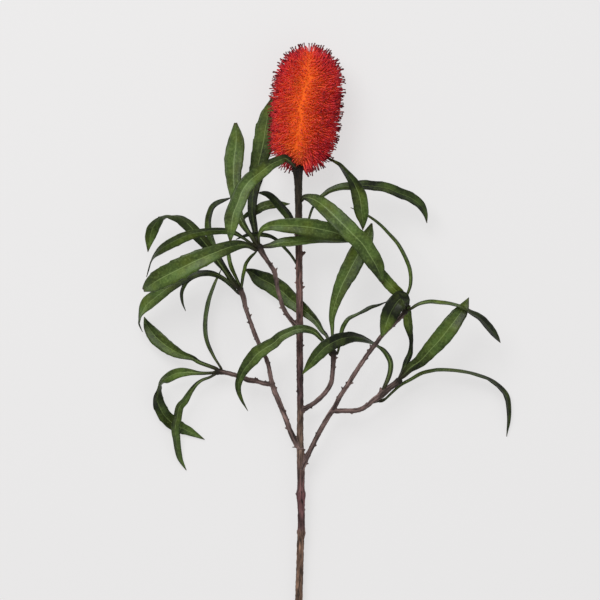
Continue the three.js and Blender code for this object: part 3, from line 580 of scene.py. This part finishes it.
        [0.2, 0.6, 0.7, 0.6, 0.05, 0.2, 0.2], [2.2, 2.6, 4, 6, 8, 9, 9, 6.5, 0.3],
        [0, 20, 36, 60, 70, 74, 57, 46, 40], 0.0,
        [(48, -59.5, 24), (53, -58.5, 22), (58.4, -58, 20.5), (68.7, -48.6, 18.5),
         (76.6, -41.9, 18.5), (86, -36.9, 19), (97, -30.9, 20), (108, -28.4, 20.5),
         (116, -27.6, 20.5), (132, -28.7, 20), (146, -31.2, 18.5), (155.6, -33.9, 17),
         (166.6, -38.7, 14.5), (175.3, -45.5, 11.5), (181.7, -53.1, 9), (183.9, -62.5, 7),
         (184.8, -76.5, 4.8), (183.6, -89, 2.5), (183, -94.5, 1.3)]),
    "leaf_lower_right_4": (
        [0.3, 0.4, 0.4, 0.1, 0.15, 0.5, 0.75], [3, 5.7, 7.2, 9.2, 11, 13.5, 14, 10, 0.5],
        [20, 35, 45, 80, 50, 22, 12, 10, 5], 0.9,
        [(57, -50, 26), (60, -43, 27), (63.3, -35.7, 27), (65.8, -26.7, 27.5), (65.8, -18.7, 28.5),
         (62.8, -11.7, 30), (57.8, -5.2, 32), (52, -1.5, 35), (45, 2, 40), (37, 5, 45),
         (28, 6.5, 50), (18, 5, 54), (9, 1.5, 56.5), (0, -4, 57.5), (-8, -12, 56.5), (-16, -22, 53),
         (-23, -31.5, 48)]),
    "leaf_stem_1": (
        [0, 0.2, 0.65, 0.8, 0.7, 0.6], [3.2, 5, 9, 12.5, 14.8, 16.2, 16, 14, 1.5], [0, -8, -8], 0.2,
        [(-28.5, 174.5, 39), (-34, 180.5, 50.5), (-39.5, 184, 58), (-46, 181.5, 61.5),
         (-54.9, 177.1, 65), (-64.4, 169.6, 69), (-74.3, 161.8, 73), (-81.8, 151.8, 75),
         (-86.5, 139.5, 77), (-91, 128.5, 78), (-93, 116.5, 79), (-94.2, 101, 80)]),
    "leaf_stem_2": (
        [0, 0, 0, 0.05, 0.5, 0.55], [2.6, 2.6, 2.6, 2.4, 4.4, 9.3, 15.2, 14, 0.6],
        [0, -10, -20, -20, -12, -6], 0.3,
        [(-25, 176, 31), (-19, 177, 27), (-12.5, 180.5, 25), (-5, 183.3, 25), (0.5, 186, 31),
         (3.9, 184.1, 43), (8.9, 181.3, 53), (15.4, 177.1, 60), (20.9, 170.1, 63), (26.5, 163, 64),
         (32, 153, 62), (35, 143, 61), (36.5, 131, 59), (37.5, 122, 58), (37.5, 112.5, 57)]),
    "leaf_stem_3": (
        [0.2, 0.5, 0.65, 0.8, 0.6, 0.45], [2.5, 7.4, 13.4, 16.9, 18.4, 18, 18.5, 14.5, 2],
        [0, 6, 10], 0.5,
        [(-24, 142, 33), (-20.4, 145.6, 42), (-12.9, 143.9, 54), (-3.9, 138.4, 65),
         (6.1, 129.4, 72), (16.1, 119.4, 77), (27, 108.5, 79.5), (37, 98.5, 79.5), (44, 87.7, 77),
         (50.5, 77.2, 73.5), (54.5, 68.2, 70), (57.5, 59.7, 65.5)]),
    "leaf_stem_4": (
        [0.1, 0.1, 0.3, 0.2, 0.2, 0.1], [2.4, 2.4, 3, 7, 10, 11.5, 12, 10, 0.4],
        [0, 20, 30, 32, 33, 32, 20], 0.9,
        [(-22, 104, 30.5), (-17, 120.8, 33), (-13, 133.4, 35), (-7, 143.4, 36), (0, 148.9, 36.5),
         (6, 152.7, 37), (15.8, 155.6, 37.5), (25.5, 156.4, 38), (37.6, 157.4, 38),
         (49.7, 156.4, 37), (62, 154.6, 36), (73.8, 149.7, 34), (85.8, 144.9, 31),
         (95.6, 137.6, 28), (100.4, 129.1, 25), (102.3, 120.1, 21)]),
    "leaf_stem_5": (
        [0, 0.05, 0.05, 0.1], [2.6, 6, 8.4, 10, 10.6, 10, 8.8, 6.4, 0.4], [20, 42, 40], 0.3,
        [(-28.5, 112, 29.8), (-36, 127, 26), (-44.8, 138.1, 22), (-51.8, 145.6, 20.5),
         (-58.8, 150.1, 20), (-67.8, 150.6, 21)]),
    "leaf_stem_6": (
        [0, 0.1, 0.15, 0.15], [2.4, 2.6, 3, 3.4, 3.6, 4.8, 4.2, 3.4, 0.4], [20, 30, 30], 0.0,
        [(-27, 77, 28), (-34, 88, 32), (-41, 96, 35), (-48, 103, 38), (-55, 107, 40),
         (-63, 108.5, 40.5), (-73, 109, 40), (-81, 107, 38), (-89, 103.5, 36)]),
}
BLADE_ROWS = 96
BLADE_COLUMNS = 8
BLADE_THICKNESS = 0.0006
TOOTH_SPACING = 0.085            # share of the length
TOOTH_SIZE = 0.06                # share of the width
TOOTH_POINT = 0.86               # share of a tooth's own length
FIRST_TEETH = 0.4, 0.436         # share of the length, on the left edge and on the right
LAST_TOOTH = 0.94                # share of the length
EDGE_PLACES = 34                 # where a leaf's edge is drawn in or out at random,
EDGE_SCATTER = 0.035             # by up to this share of its width
BLADE_OPENS = 0.06, 0.3          # share of the length over which a blade opens from its stalk
FOLD = 17                        # degrees that each half of a blade rises from the midrib
DROOP = 0.9                      # mm that an edge 10 mm from the midrib hangs below that
RIPPLE = 0.55                    # mm of waviness at an edge 8 mm from the midrib
# The stalk and midrib are one rod: share of the length, and radius there in mm for a leaf whose
# blade starts 2.6 mm wide. Other leaves have a stouter or thinner stalk, over the share given.
RIB_WIDTH = 2.6
RIB_STEPS = [(-0.004, 1.7), (0.03, 1.35), (0.08, 1.1), (0.14, 0.95), (0.2, 0.75), (0.28, 0.56),
             (0.36, 0.46), (0.45, 0.4), (0.55, 0.36), (0.65, 0.32), (0.75, 0.28), (0.85, 0.23),
             (0.93, 0.18), (0.985, 0.12)]
STALK_FADES = 0.1, 0.35
STALK_ROOT = 0.3                 # where a stalk starts between the bough's middle and its route,
STALK_GAP = 1.2                  # if that is farther than this from the route, in mm
RIB_DROP = 0.00015               # the midrib stands out more under the blade than over it
PRESSED_LEAF = "leaf_upper_left_2"


def smooth_step(low, high, value):
    share = min(1, max(0, (value - low) / (high - low)))
    return share * share * (3 - 2 * share)


def along_leaf(values, share):
    """The value at this share of the leaf's length, drawn smoothly through the even steps."""
    place = min(share, 0.99999) * (len(values) - 1)
    step = int(place)
    first, second = values[step], values[step + 1]
    before = values[step - 1] if step else 2 * first - second
    after = values[step + 2] if step + 2 < len(values) else 2 * second - first
    t = place - step
    smooth = first + 0.5 * t * (second - before + t * (
        2 * before - 5 * first + 4 * second - after + t * (3 * (first - second) + after - before)))
    return min(max(smooth, min(first, second)), max(first, second))


def roll_at(rolls, share):
    """The blade's roll about its route, in radians, drawn straight through the even steps."""
    place = min(share, 0.9999) * (len(rolls) - 1)
    step = int(place)
    return math.radians(rolls[step] + (rolls[step + 1] - rolls[step]) * (place - step))


def tooth_push(share, first):
    """How far the edge stands out for its teeth: up towards each point, then a quick drop."""
    start = first - 0.04
    if share < start or share > LAST_TOOTH:
        return 0
    place = ((share - first) / TOOTH_SPACING + 1) % 1
    fade = smooth_step(start, first + 0.1, share)
    fade *= 1 - smooth_step(LAST_TOOTH - 0.08, LAST_TOOTH, share)
    return TOOTH_SIZE * fade * (place ** 2 if place < TOOTH_POINT else 0.2)


def close_up():
    """Ends work in edit mode, with all faces looking outward."""
    bpy.ops.mesh.select_all(action="SELECT")
    bpy.ops.mesh.normals_make_consistent(inside=False)
    bpy.ops.object.mode_set(mode="OBJECT")


def drawn_out(name, sides, steps):
    """A closed rod, drawn out of a ring through steps along Y, each a centre and a radius."""
    piece = new_piece(bpy.ops.mesh.primitive_circle_add, name, vertices=sides, radius=1,
                      fill_type="NGON", location=(0, 0, 0), rotation=(math.radians(90), 0, 0))
    bpy.ops.object.transform_apply(rotation=True)
    bpy.ops.object.mode_set(mode="EDIT")
    bpy.ops.mesh.select_all(action="SELECT")
    centre, radius = steps[0]
    bpy.ops.transform.translate(value=centre)
    bpy.ops.transform.resize(value=(radius, 1, radius), center_override=centre)
    for next_centre, next_radius in steps[1:]:
        step = [after - before for before, after in zip(centre, next_centre)]
        growth = next_radius / radius
        bpy.ops.mesh.extrude_region_move(TRANSFORM_OT_translate={"value": step})
        bpy.ops.transform.resize(value=(growth, 1, growth), center_override=next_centre)
        centre, radius = next_centre, next_radius
    close_up()
    return piece


# The blade starts as a flat strip, one unit wide and long, whose outer edges are pulled out into
# teeth. Each leaf is a copy that is drawn in to its own outline, row by row.
blade = new_piece(bpy.ops.mesh.primitive_grid_add, "blade pattern", x_subdivisions=BLADE_COLUMNS,
                  y_subdivisions=BLADE_ROWS, size=1, location=(0, 0.5, 0))
bpy.ops.object.transform_apply(location=True)
blade_rows = {}
for vertex in blade.data.vertices:
    blade_rows.setdefault(round(vertex.co.y * BLADE_ROWS), []).append(vertex.index)
for row, members in blade_rows.items():
    members.sort(key=lambda index: blade.data.vertices[index].co.x)
    for edge_point, side, first in zip((members[0], members[-1]), (-1, 1), FIRST_TEETH):
        push = tooth_push(row / BLADE_ROWS, first)
        if push > 0:
            bpy.ops.object.mode_set(mode="EDIT")
            bpy.ops.mesh.select_mode(type="VERT")
            bpy.ops.mesh.select_all(action="DESELECT")
            bpy.ops.object.mode_set(mode="OBJECT")
            blade.data.vertices[edge_point].select = True
            bpy.ops.object.mode_set(mode="EDIT")
            bpy.ops.transform.translate(value=(side * push, push * 0.06, 0))
            bpy.ops.object.mode_set(mode="OBJECT")
bpy.ops.object.mode_set(mode="EDIT")
close_up()
blade_points = read_points(blade.data)
rib = drawn_out("rib pattern", 8, [((0, reach, 0), radius) for reach, radius in RIB_STEPS])


def leaf_skin(name, roughness, gloss, dark, light, pale):
    """Waxy green skin with a paler rib and faint side veins, read from the blade's own map."""
    skin = Skin(name, roughness, gloss)
    across, along, _ = skin.split(skin.add("UVMap", {}, uv_map="leaf"))
    from_rib = skin.math("ABSOLUTE", skin.math("SUBTRACT", across, 0.5))
    everywhere = skin.add("TexCoord", {}, "Object")
    flecks = skin.noise(everywhere, 420, 4)
    # The tone is partly the leaf's own colour and partly painted light and shade along each leaf.
    tone_and_shade = skin.attribute("tone_and_shade")
    # Clouded patches: some yellower and lighter, some as dark as an old leaf.
    clouds = skin.mapped(skin.noise(everywhere, 75, 3), 0.3, 0.7, -0.3, 0.28)
    # Painted light and shade: one half of the blade beside the midrib is painted lighter and the
    # other darker, as light falls on its fold.
    clouded_and_shaded = skin.math("ADD", skin.math("ADD", tone_and_shade, clouds),
                       skin.mapped(across, 0.44, 0.56, 0.07, -0.1))
    green = skin.blended(skin.math("MAXIMUM", skin.math("MINIMUM", clouded_and_shaded, 1.0), 0.0), dark, light)
    warmth = skin.mapped(skin.noise(everywhere, 48, 2), 0.42, 0.68)
    green = skin.blended(warmth, green, (1.2, 1.0, 0.62), "MULTIPLY")
    fleck_light = skin.times(skin.mapped(flecks, 0.52, 0.75),
                             skin.mapped(tone_and_shade, 0.1, 0.7, 0.06, 0.36))
    green = skin.blended(fleck_light, green, pale)
    green = skin.blended(skin.mapped(flecks, 0.46, 0.28, 0.0, 0.4), green, dark)
    # Side veins leave the rib forwards, about forty to a side.
    slant = skin.math("SUBTRACT", skin.times(along, 46.0), skin.times(from_rib, 9.0))
    vein = skin.math("ABSOLUTE", skin.math("SINE", skin.times(slant, math.pi)))
    vein = skin.times(skin.mapped(vein, 0.0, 0.28, 1.0, 0.0),
                      skin.mapped(from_rib, 0.02, 0.42, 1.0, 0.0))
    green = skin.blended(skin.times(vein, 0.14), green, pale)
    # Painted shade: the blade is painted darker towards both its edges.
    green = skin.blended(skin.times(skin.mapped(from_rib, 0.25, 0.5), 0.42), green, dark)
    rib_line = skin.times(skin.mapped(from_rib, 0.008, 0.03, 1.0, 0.0),
                          skin.mapped(along, 0.8, 1.0, 1.0, 0.1))
    rib_line = skin.times(rib_line, skin.mapped(tone_and_shade, 0.0, 0.6, 0.2, 0.7))
    green = skin.blended(rib_line, green, pale)
    # The stalk is brown where it leaves the wood, and the very tip has dried.
    green = skin.blended(skin.mapped(along, 0.04, 0.2, 0.95, 0.0), green, (0.024, 0.020, 0.010))
    green = skin.blended(skin.mapped(along, 0.965, 1.0, 0.0, 0.8), green, (0.05, 0.03, 0.012))
    skin.fill(skin.shader, {"Base Color": green})
    pores = skin.noise(everywhere, 900, 3)
    relief = skin.math("ADD", skin.times(vein, -0.6), skin.times(pores, 0.35))
    skin.roughen(relief, 0.35, 0.0003)
    return skin.material


leaf_upper = leaf_skin("leaf upper side", 0.38, 0.22, dark=(0.006, 0.010, 0.003),
                       light=(0.105, 0.175, 0.034), pale=(0.27, 0.37, 0.12))
# The underside is a duller, darker copy of the same skin: partly its own colour, partly painted
# shade.
leaf_underside_shaded = leaf_skin("leaf underside", 0.6, 0.12, dark=(0.014, 0.022, 0.008),
                       light=(0.068, 0.10, 0.026), pale=(0.13, 0.17, 0.05))


def make_leaf(node, tones_and_shades, widths, rolls, teeth, route, wave_start):
    """One leaf: a blade and its rib, shaped flat and then bent along the route."""
    points = in_metres(route)
    # The stalk grows out of the wood, so the route starts inside the nearest bough.
    nearest = ((line_points - np.array(points[0])) ** 2).sum(-1).argmin()
    inside = Vector([float(value) for value in line_points[nearest]])
    inside = inside + (points[0] - inside) * STALK_ROOT
    if (points[0] - inside).length > STALK_GAP * MM:
        points.insert(0, inside)
    travelled = [0]
    for before, after in zip(points, points[1:]):
        travelled.append(travelled[-1] + (after - before).length)
    tilts = [math.pi / 2 - roll_at(rolls, distance / travelled[-1]) for distance in travelled]
    curve = grown_curve(node + " route", points, tilts=tilts)
    length = curve.data.splines[0].calc_length(resolution=40)
    pressed = node == PRESSED_LEAF

    leaf = blade.copy()
    leaf.data = blade.data.copy()
    leaf.name = node.replace("leaf", "foliage", 1)
    bpy.context.collection.objects.link(leaf)
    y = blade_points[:, 1]
    x = np.clip(blade_points[:, 0], -0.5, 0.5)
    x = (x + (blade_points[:, 0] - x) * teeth) * MM * np.array(
        [along_leaf(widths, share) for share in y])
    # A leathery margin is never quite even.
    knots = np.linspace(0, 1, EDGE_PLACES)
    for side in (-1, 1):
        pulls = [ragged.uniform(-EDGE_SCATTER, EDGE_SCATTER) for knot in knots]
        x = np.where(np.sign(x) == side, x * (1 + np.interp(y, knots, pulls)), x)
    lane = np.abs(x)
    wave = np.sin(y * 17 + wave_start) * 0.35 + np.sin(y * 31 + wave_start * 2.3) * 0.2
    opening = np.array([smooth_step(*BLADE_OPENS, share) for share in y])
    fold = math.tan(math.radians(FOLD)) * lane * opening
    droop = -DROOP * (lane / 0.01) ** 2 * MM * opening
    ripple = wave * (lane / 0.008) ** 2 * RIPPLE * MM * np.sign(x)
    shaped = np.stack([x, y * length, (fold + droop + ripple) * (0 if pressed else 1)], axis=1)
    leaf.data.vertices.foreach_set("co", shaped.astype(np.float32).ravel())
    leaf.data.uv_layers[0].name = "leaf"

    spine = rib.copy()
    spine.data = rib.data.copy()
    bpy.context.collection.objects.link(spine)
    stoutness = widths[0] / RIB_WIDTH
    for vertex in spine.data.vertices:
        girth = 1 + (stoutness - 1) * (1 - smooth_step(*STALK_FADES, vertex.co.y))
        vertex.co.x *= girth * MM
        vertex.co.z = vertex.co.z * girth * MM - (0 if pressed else RIB_DROP)
        vertex.co.y *= length
    spine_map = spine.data.uv_layers[0]
    spine_map.name = "leaf"
    for loop in spine.data.loops:
        reach = spine.data.vertices[loop.vertex_index].co.y / length
        spine_map.data[loop.index].uv = (0.5, min(1, max(0, reach)))

    make_active(leaf)
    leaf.data.materials.append(leaf_upper)
    leaf.data.materials.append(leaf_underside_shaded)
    spine.data.materials.append(leaf_upper)
    apply_modifier(leaf, "thickness", "SOLIDIFY", thickness=BLADE_THICKNESS, offset=0,
                   material_offset=1, material_offset_rim=0)
    spine.select_set(True)
    bpy.ops.object.join()
    # Each point gets the leaf's tone along its length: partly its own colour, partly painted light
    # and shade.
    set_attribute(leaf.data, "tone_and_shade", [
        along_leaf(tones_and_shades, min(1, max(0, vertex.co.y / length))) for vertex in leaf.data.vertices])
    apply_modifier(leaf, "bend", "CURVE", object=curve, deform_axis="POS_Y")
    rest_on_floor(leaf)
    bpy.ops.object.shade_smooth()
    bpy.data.objects.remove(curve, do_unlink=True)
    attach(leaf, "root")
    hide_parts(node)


ragged = random.Random(23)
for leaf_number, (node, growth) in enumerate(LEAVES.items()):
    make_leaf(node, *growth, wave_start=leaf_number * 1.3)
bpy.data.objects.remove(blade, do_unlink=True)
bpy.data.objects.remove(rib, do_unlink=True)

# ------------------------------------------------------------------------------ the flower spike
# Hundreds of small flowers packed on a cylindrical core. Each one sends out a wiry style, orange
# where it leaves the core, crimson further out and nearly black-red at its hooked tip.

# x and y along the middle of the spike, and y and radius along its core, all in mm
SPIKE_AXIS = [(-24, 174), (-23.3, 189), (-21.5, 208), (-18.9, 236), (-17, 256), (-16.1, 275),
              (-15.8, 300)]
SPIKE_AXIS_Z = 34.5
CORE_OUTLINE = [(178, 5), (179.5, 11.5), (183, 18), (191, 23.6), (208, 26.8), (236, 28),
                (256, 28.2), (272, 25.4), (282, 19.4), (288, 10.5), (290.5, 3.5)]
STYLE_COUNT = 2800
STYLE_LENGTH = 10.2              # mm
LONG_STYLES = 0.3                # share of them that stand out beyond the rest
LONG, SHORT = (0.94, 1.12), (0.6, 0.8)      # shares of STYLE_LENGTH
STYLE_TURN = 2.39996323          # radians from one style to the next, as in a sunflower
STYLE_ROOT = 0.5                 # mm that it starts inside the core
TUFT_STEP = 4.2, 9               # mm along the spike and degrees round it that a tuft takes up
FURROW_LINE = [(178, 9), (200, 12), (230, 11), (256, 5), (290, -2)]  # (y, degrees left of the top)
FURROW_HALF = 13                 # degrees on either side of it where the styles are short
PARTING = 42                     # degrees on either side of it where they lean away from it


def axis_x(y):
    return float(np.interp(y, [row[1] for row in SPIKE_AXIS], [row[0] for row in SPIKE_AXIS]))


def off_furrow(degrees, y):
    """How far round from the wandering furrow this place is, to the left of it."""
    furrow = float(np.interp(y, [row[0] for row in FURROW_LINE], [row[1] for row in FURROW_LINE]))
    furrow += 2.5 * math.sin(y / 7.3) + 1.5 * math.sin(y / 3.1 + 1)
    return (degrees - 90 - furrow + 180) % 360 - 180


def ripeness_and_shade_at(from_furrow, y):
    """How far the florets have turned: open and orange by the furrow, crimson on the flanks and
    towards the ends. Painted shade is added in: the far flanks and the right side are darker.
    """
    round_flank = smooth_step(3, 40, abs(from_furrow)) * 0.33
    # Painted shade: the far flanks and the right side of the spike are painted darker.
    flank_shade = smooth_step(36, 90, abs(from_furrow)) * 0.2 + smooth_step(18, 75, -from_furrow) * 0.04
    at_ends = smooth_step(258, 288, y) * 0.2 + (1 - smooth_step(180, 200, y)) * 0.2
    return round_flank + flank_shade + at_ends


core = drawn_out("flower_core", 48, [
    ((axis_x(y) * MM, y * MM, SPIKE_AXIS_Z * MM), radius * MM) for y, radius in CORE_OUTLINE])
apply_modifier(core, "round", "SUBSURF", levels=2, render_levels=2)
floret_relief = bpy.data.textures.new("florets", "VORONOI")
floret_relief.noise_scale = 0.0022
apply_modifier(core, "florets", "DISPLACE", texture=floret_relief, texture_coords="LOCAL",
               mid_level=0.5, strength=-0.0016)
bpy.ops.object.shade_smooth()

# One style: a thin four-sided thread, drawn up in steps to a hooked and slightly clubbed tip.
style = new_piece(bpy.ops.mesh.primitive_circle_add, "style pattern", vertices=4, radius=0.67,
                  fill_type="NOTHING", location=(0, 0, 0))
bpy.ops.object.mode_set(mode="EDIT")
bpy.ops.mesh.select_all(action="SELECT")
for shift, rise, growth in [(0.0, 3.4, 0.84), (0.12, 2.7, 0.94), (0.3, 2.2, 1.05), (0.4, 1.0, 1.25),
                            (0.2, 0.5, 0.55)]:
    bpy.ops.mesh.extrude_region_move(TRANSFORM_OT_translate={"value": (shift, 0, rise)})
    bpy.ops.transform.resize(value=(growth, growth, growth))
bpy.ops.mesh.edge_face_add()
close_up()
style_points = np.array([vertex.co for vertex in style.data.vertices], dtype=np.float64)
style_height = style_points[:, 2].max()
style_faces = [tuple(face.vertices) for face in style.data.polygons]
bpy.data.objects.remove(style, do_unlink=True)

# The styles' roots are spread evenly over the core, by its area.
outline_share = np.linspace(0, 1, len(CORE_OUTLINE))
outline_y = np.interp(np.linspace(0, 1, 600), outline_share, [y for y, radius in CORE_OUTLINE])
outline_r = np.interp(outline_y, [y for y, radius in CORE_OUTLINE],
                      [radius for y, radius in CORE_OUTLINE])
step_length = np.hypot(np.diff(outline_y), np.diff(outline_r))
area = np.concatenate([[0], np.cumsum(step_length * (outline_r[1:] + outline_r[:-1]) / 2 + 0.02)])
core_foot, core_top = CORE_OUTLINE[0][0], CORE_OUTLINE[-1][0]
draw = random.Random(5)
tufts = {}
style_vertices, style_polygons, style_maps = [], [], []
for number in range(STYLE_COUNT):
    wanted = (number + 0.5) / STYLE_COUNT * area[-1]
    y = float(np.interp(wanted, area, outline_y)) + draw.gauss(0, 0.35)
    y = min(max(y, core_foot + 0.1), core_top - 0.1)
    below, above = max(y - 1.5, core_foot), min(y + 1.5, core_top)
    radius_below, radius, radius_above = np.interp([below, y, above], outline_y, outline_r).tolist()
    slope = (radius_above - radius_below) / (above - below)
    angle = number * STYLE_TURN + draw.gauss(0, 0.02)
    out = Vector((math.cos(angle), 0, math.sin(angle)))
    sideways = Vector((-math.sin(angle), 0, math.cos(angle)))
    along = (out + Vector((0, -slope, 0))).normalized()
    # The styles part along a furrow on the side that faces up, and lean a little at random.
    from_furrow = off_furrow(math.degrees(angle), y)
    parting = max(0, 1 - abs(from_furrow) / PARTING)
    along += sideways * math.copysign(0.6 * parting ** 1.3, from_furrow)
    # Neighbours lean the same way, which gathers them into loose tufts with ragged borders.
    tuft = (int(y / TUFT_STEP[0] + math.sin(number) * 0.2),
            int(math.degrees(angle) % 360 / TUFT_STEP[1]))
    if tuft not in tufts:
        tufts[tuft] = (draw.gauss(0, 0.16), draw.gauss(0, 0.16), draw.gauss(0, 0.06))
    lean_across, lean_along, tuft_age = tufts[tuft]
    along += sideways * (lean_across + draw.gauss(0, 0.08))
    along += Vector((0, lean_along - 0.02 + draw.gauss(0, 0.09), 0))
    along.normalize()
    root = Vector((axis_x(y), y, SPIKE_AXIS_Z)) + out * (radius - STYLE_ROOT)
    is_long = draw.random() < LONG_STYLES
    length = STYLE_LENGTH * draw.uniform(*(LONG if is_long else SHORT))
    if abs(from_furrow) < FURROW_HALF:
        length *= 0.6 + 0.4 * abs(from_furrow) / FURROW_HALF
    # At the flower's foot they are short over the neck, and hang in a tuft to the right of it.
    if y < 186 and out.z > 0.2:
        length *= 1.35 if 0.12 < out.x < 0.75 else 0.62
    if y < 190 and out.z > 0.1 and out.x < 0.12:
        length *= 0.55
    length /= style_height
    hook = along.orthogonal().normalized()
    hook = Matrix.Rotation(draw.uniform(0, 6.283), 3, along) @ hook
    turned = np.array(Matrix((hook, along.cross(hook), along)))
    style_vertices.append((style_points * np.array([1, 1, length])) @ turned + np.array(root))
    start = number * len(style_points)
    style_polygons += [tuple(index + start for index in face) for face in style_faces]
    chance = draw.uniform(0.55, 1) if is_long else draw.uniform(0, 0.45)
    style_maps.append((chance, ripeness_and_shade_at(from_furrow, y) + tuft_age + draw.gauss(0, 0.09)))

# Each point knows its share of the style's length, its style's chance of a dark tip and its age,
# which carries painted shade on the spike's far flanks and right side.
all_points = np.concatenate(style_vertices) * MM
all_points[:, 2] = np.maximum(all_points[:, 2], LOWEST * 2)
styles_mesh = bpy.data.meshes.new("flower_styles")
styles_mesh.from_pydata(all_points.tolist(), [], style_polygons)
shares = np.tile(style_points[:, 2] / style_height, STYLE_COUNT)
chances, ages_and_shade = np.repeat(style_maps, len(style_points), axis=0).T
set_attribute(styles_mesh, "ripe_and_shaded", ages_and_shade.astype(np.float32))
loop_vertices = np.empty(len(styles_mesh.loops), dtype=np.int32)
styles_mesh.loops.foreach_get("vertex_index", loop_vertices)
styles_mesh.uv_layers.new(name="style").data.foreach_set(
    "uv", np.stack([chances[loop_vertices], shares[loop_vertices]], axis=1).ravel())
styles = bpy.data.objects.new("flower_styles", styles_mesh)
bpy.context.collection.objects.link(styles)
make_active(styles)
bpy.ops.object.shade_smooth()

thread = Skin("style thread", 0.6, 0.12)
tip_chance, reach, _ = thread.split(thread.add("UVMap", {}, uv_map="style"))
ripe_and_shaded = thread.attribute("ripe_and_shaded")
colour = thread.ramp(thread.math("ADD", thread.times(reach, 0.4), ripe_and_shaded), [
    (0.0, (1.0, 0.185, 0.03)), (0.28, (1.0, 0.168, 0.044)), (0.45, (1.0, 0.122, 0.054)),
    (0.6, (1.0, 0.098, 0.067)), (0.78, (0.92, 0.07, 0.084)), (1.0, (0.6, 0.034, 0.052))])
# The tips are the darkest part, above all of the longest styles. Beside the furrow they are light.
tip = thread.times(thread.mapped(reach, 0.56, 0.84),
                   thread.mapped(tip_chance, 0.45, 0.55, 0.32, 0.95))
tip = thread.times(tip, thread.mapped(ripe_and_shaded, 0.1, 0.5, 0.35))
thread.fill(thread.shader, {"Base Color": thread.blended(tip, colour, (0.085, 0.006, 0.011))})
styles_mesh.materials.append(thread.material)

velvet = Skin("core velvet", 0.8, 0.2)
speckle = velvet.noise(velvet.add("TexCoord", {}, "Object"), 700, 4)
core_age_and_shade = velvet.math("MULTIPLY_ADD", speckle, 0.35, velvet.attribute("ripe_and_shaded"))
velvet.fill(velvet.shader, {"Base Color": velvet.ramp(
    core_age_and_shade, [(0.1, (1.0, 0.18, 0.015)), (0.7, (0.45, 0.02, 0.025))])})
velvet.roughen(speckle, 0.6, 0.0006)
core.data.materials.clear()
core.data.materials.append(velvet.material)
# The core gets the same age, with painted shade on its far flanks and right side.
core_ages_and_shade = []
for vertex in core.data.vertices:
    x, y, z = vertex.co / MM
    degrees = math.degrees(math.atan2(z - SPIKE_AXIS_Z, x - axis_x(y)))
    core_ages_and_shade.append(ripeness_and_shade_at(off_furrow(degrees, y), y))
set_attribute(core.data, "ripe_and_shaded", core_ages_and_shade)

for flower_piece in (core, styles):
    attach(flower_piece, "root")
    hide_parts("flower_spike")

# ------------------------------------------------------------------- the table, light and camera
# The spray lies on a plain pale table and is photographed from straight above through a long
# lens, in soft even light from a wide window of white cloth on the flower's side.

TABLE_TONE = 0.22
TABLE_GLOW = 0.63                # a lit table top, so that shadows on it stay faint
WARM_WHITE = (1, 0.99, 0.99)
ROOM_LIGHT = 0.36
table = new_piece(bpy.ops.mesh.primitive_plane_add, "table", size=12, location=(0, 0, -2 * LOWEST))
bpy.ops.object.transform_apply(location=True)
card = Skin("pale card", 0.95, 0.1)
card.fill(card.shader, {
    "Base Color": [TABLE_TONE * part for part in WARM_WHITE], "Emission Color": WARM_WHITE,
    "Emission Strength": TABLE_GLOW})
table.data.materials.append(card.material)

world = bpy.data.worlds.new("soft room")
bpy.context.scene.world = world
world.use_nodes = True
room = world.node_tree.nodes["Background"]
room.inputs["Color"].default_value = (1, 1, 1, 1)
room.inputs["Strength"].default_value = ROOM_LIGHT

# The lamps: place, what it points at, width in metres and power in watts
for name, place, aim, size, power in [
        ("window", (-0.9, 1.5, 2.2), (-0.02, 0.05, 0.03), 1.6, 47),
        ("fill", (1.5, -0.6, 2.2), (-0.02, 0.0, 0.03), 2.2, 8)]:
    light_data = bpy.data.lights.new(name, "AREA")
    light_data.shape = "SQUARE"
    light_data.size = size
    light_data.energy = power
    light = bpy.data.objects.new(name, light_data)
    light.location = place
    light.rotation_euler = (Vector(aim) - Vector(place)).to_track_quat("-Z", "Y").to_euler()
    bpy.context.collection.objects.link(light)

CAMERA_HEIGHT = 5.0
FOCUS_HEIGHT = 0.035             # where one pixel of the picture is one millimetre
VIEW_WIDTH = 0.6
SENSOR_WIDTH = 36
camera_data = bpy.data.cameras.new("camera")
camera_data.sensor_width = SENSOR_WIDTH
camera_data.lens = SENSOR_WIDTH * (CAMERA_HEIGHT - FOCUS_HEIGHT) / VIEW_WIDTH
camera_data.clip_end = 50
camera = bpy.data.objects.new("camera", camera_data)
camera.location = (-0.025, 0.043, CAMERA_HEIGHT)
bpy.context.collection.objects.link(camera)
bpy.context.scene.camera = camera
bpy.context.scene.view_settings.view_transform = "Standard"
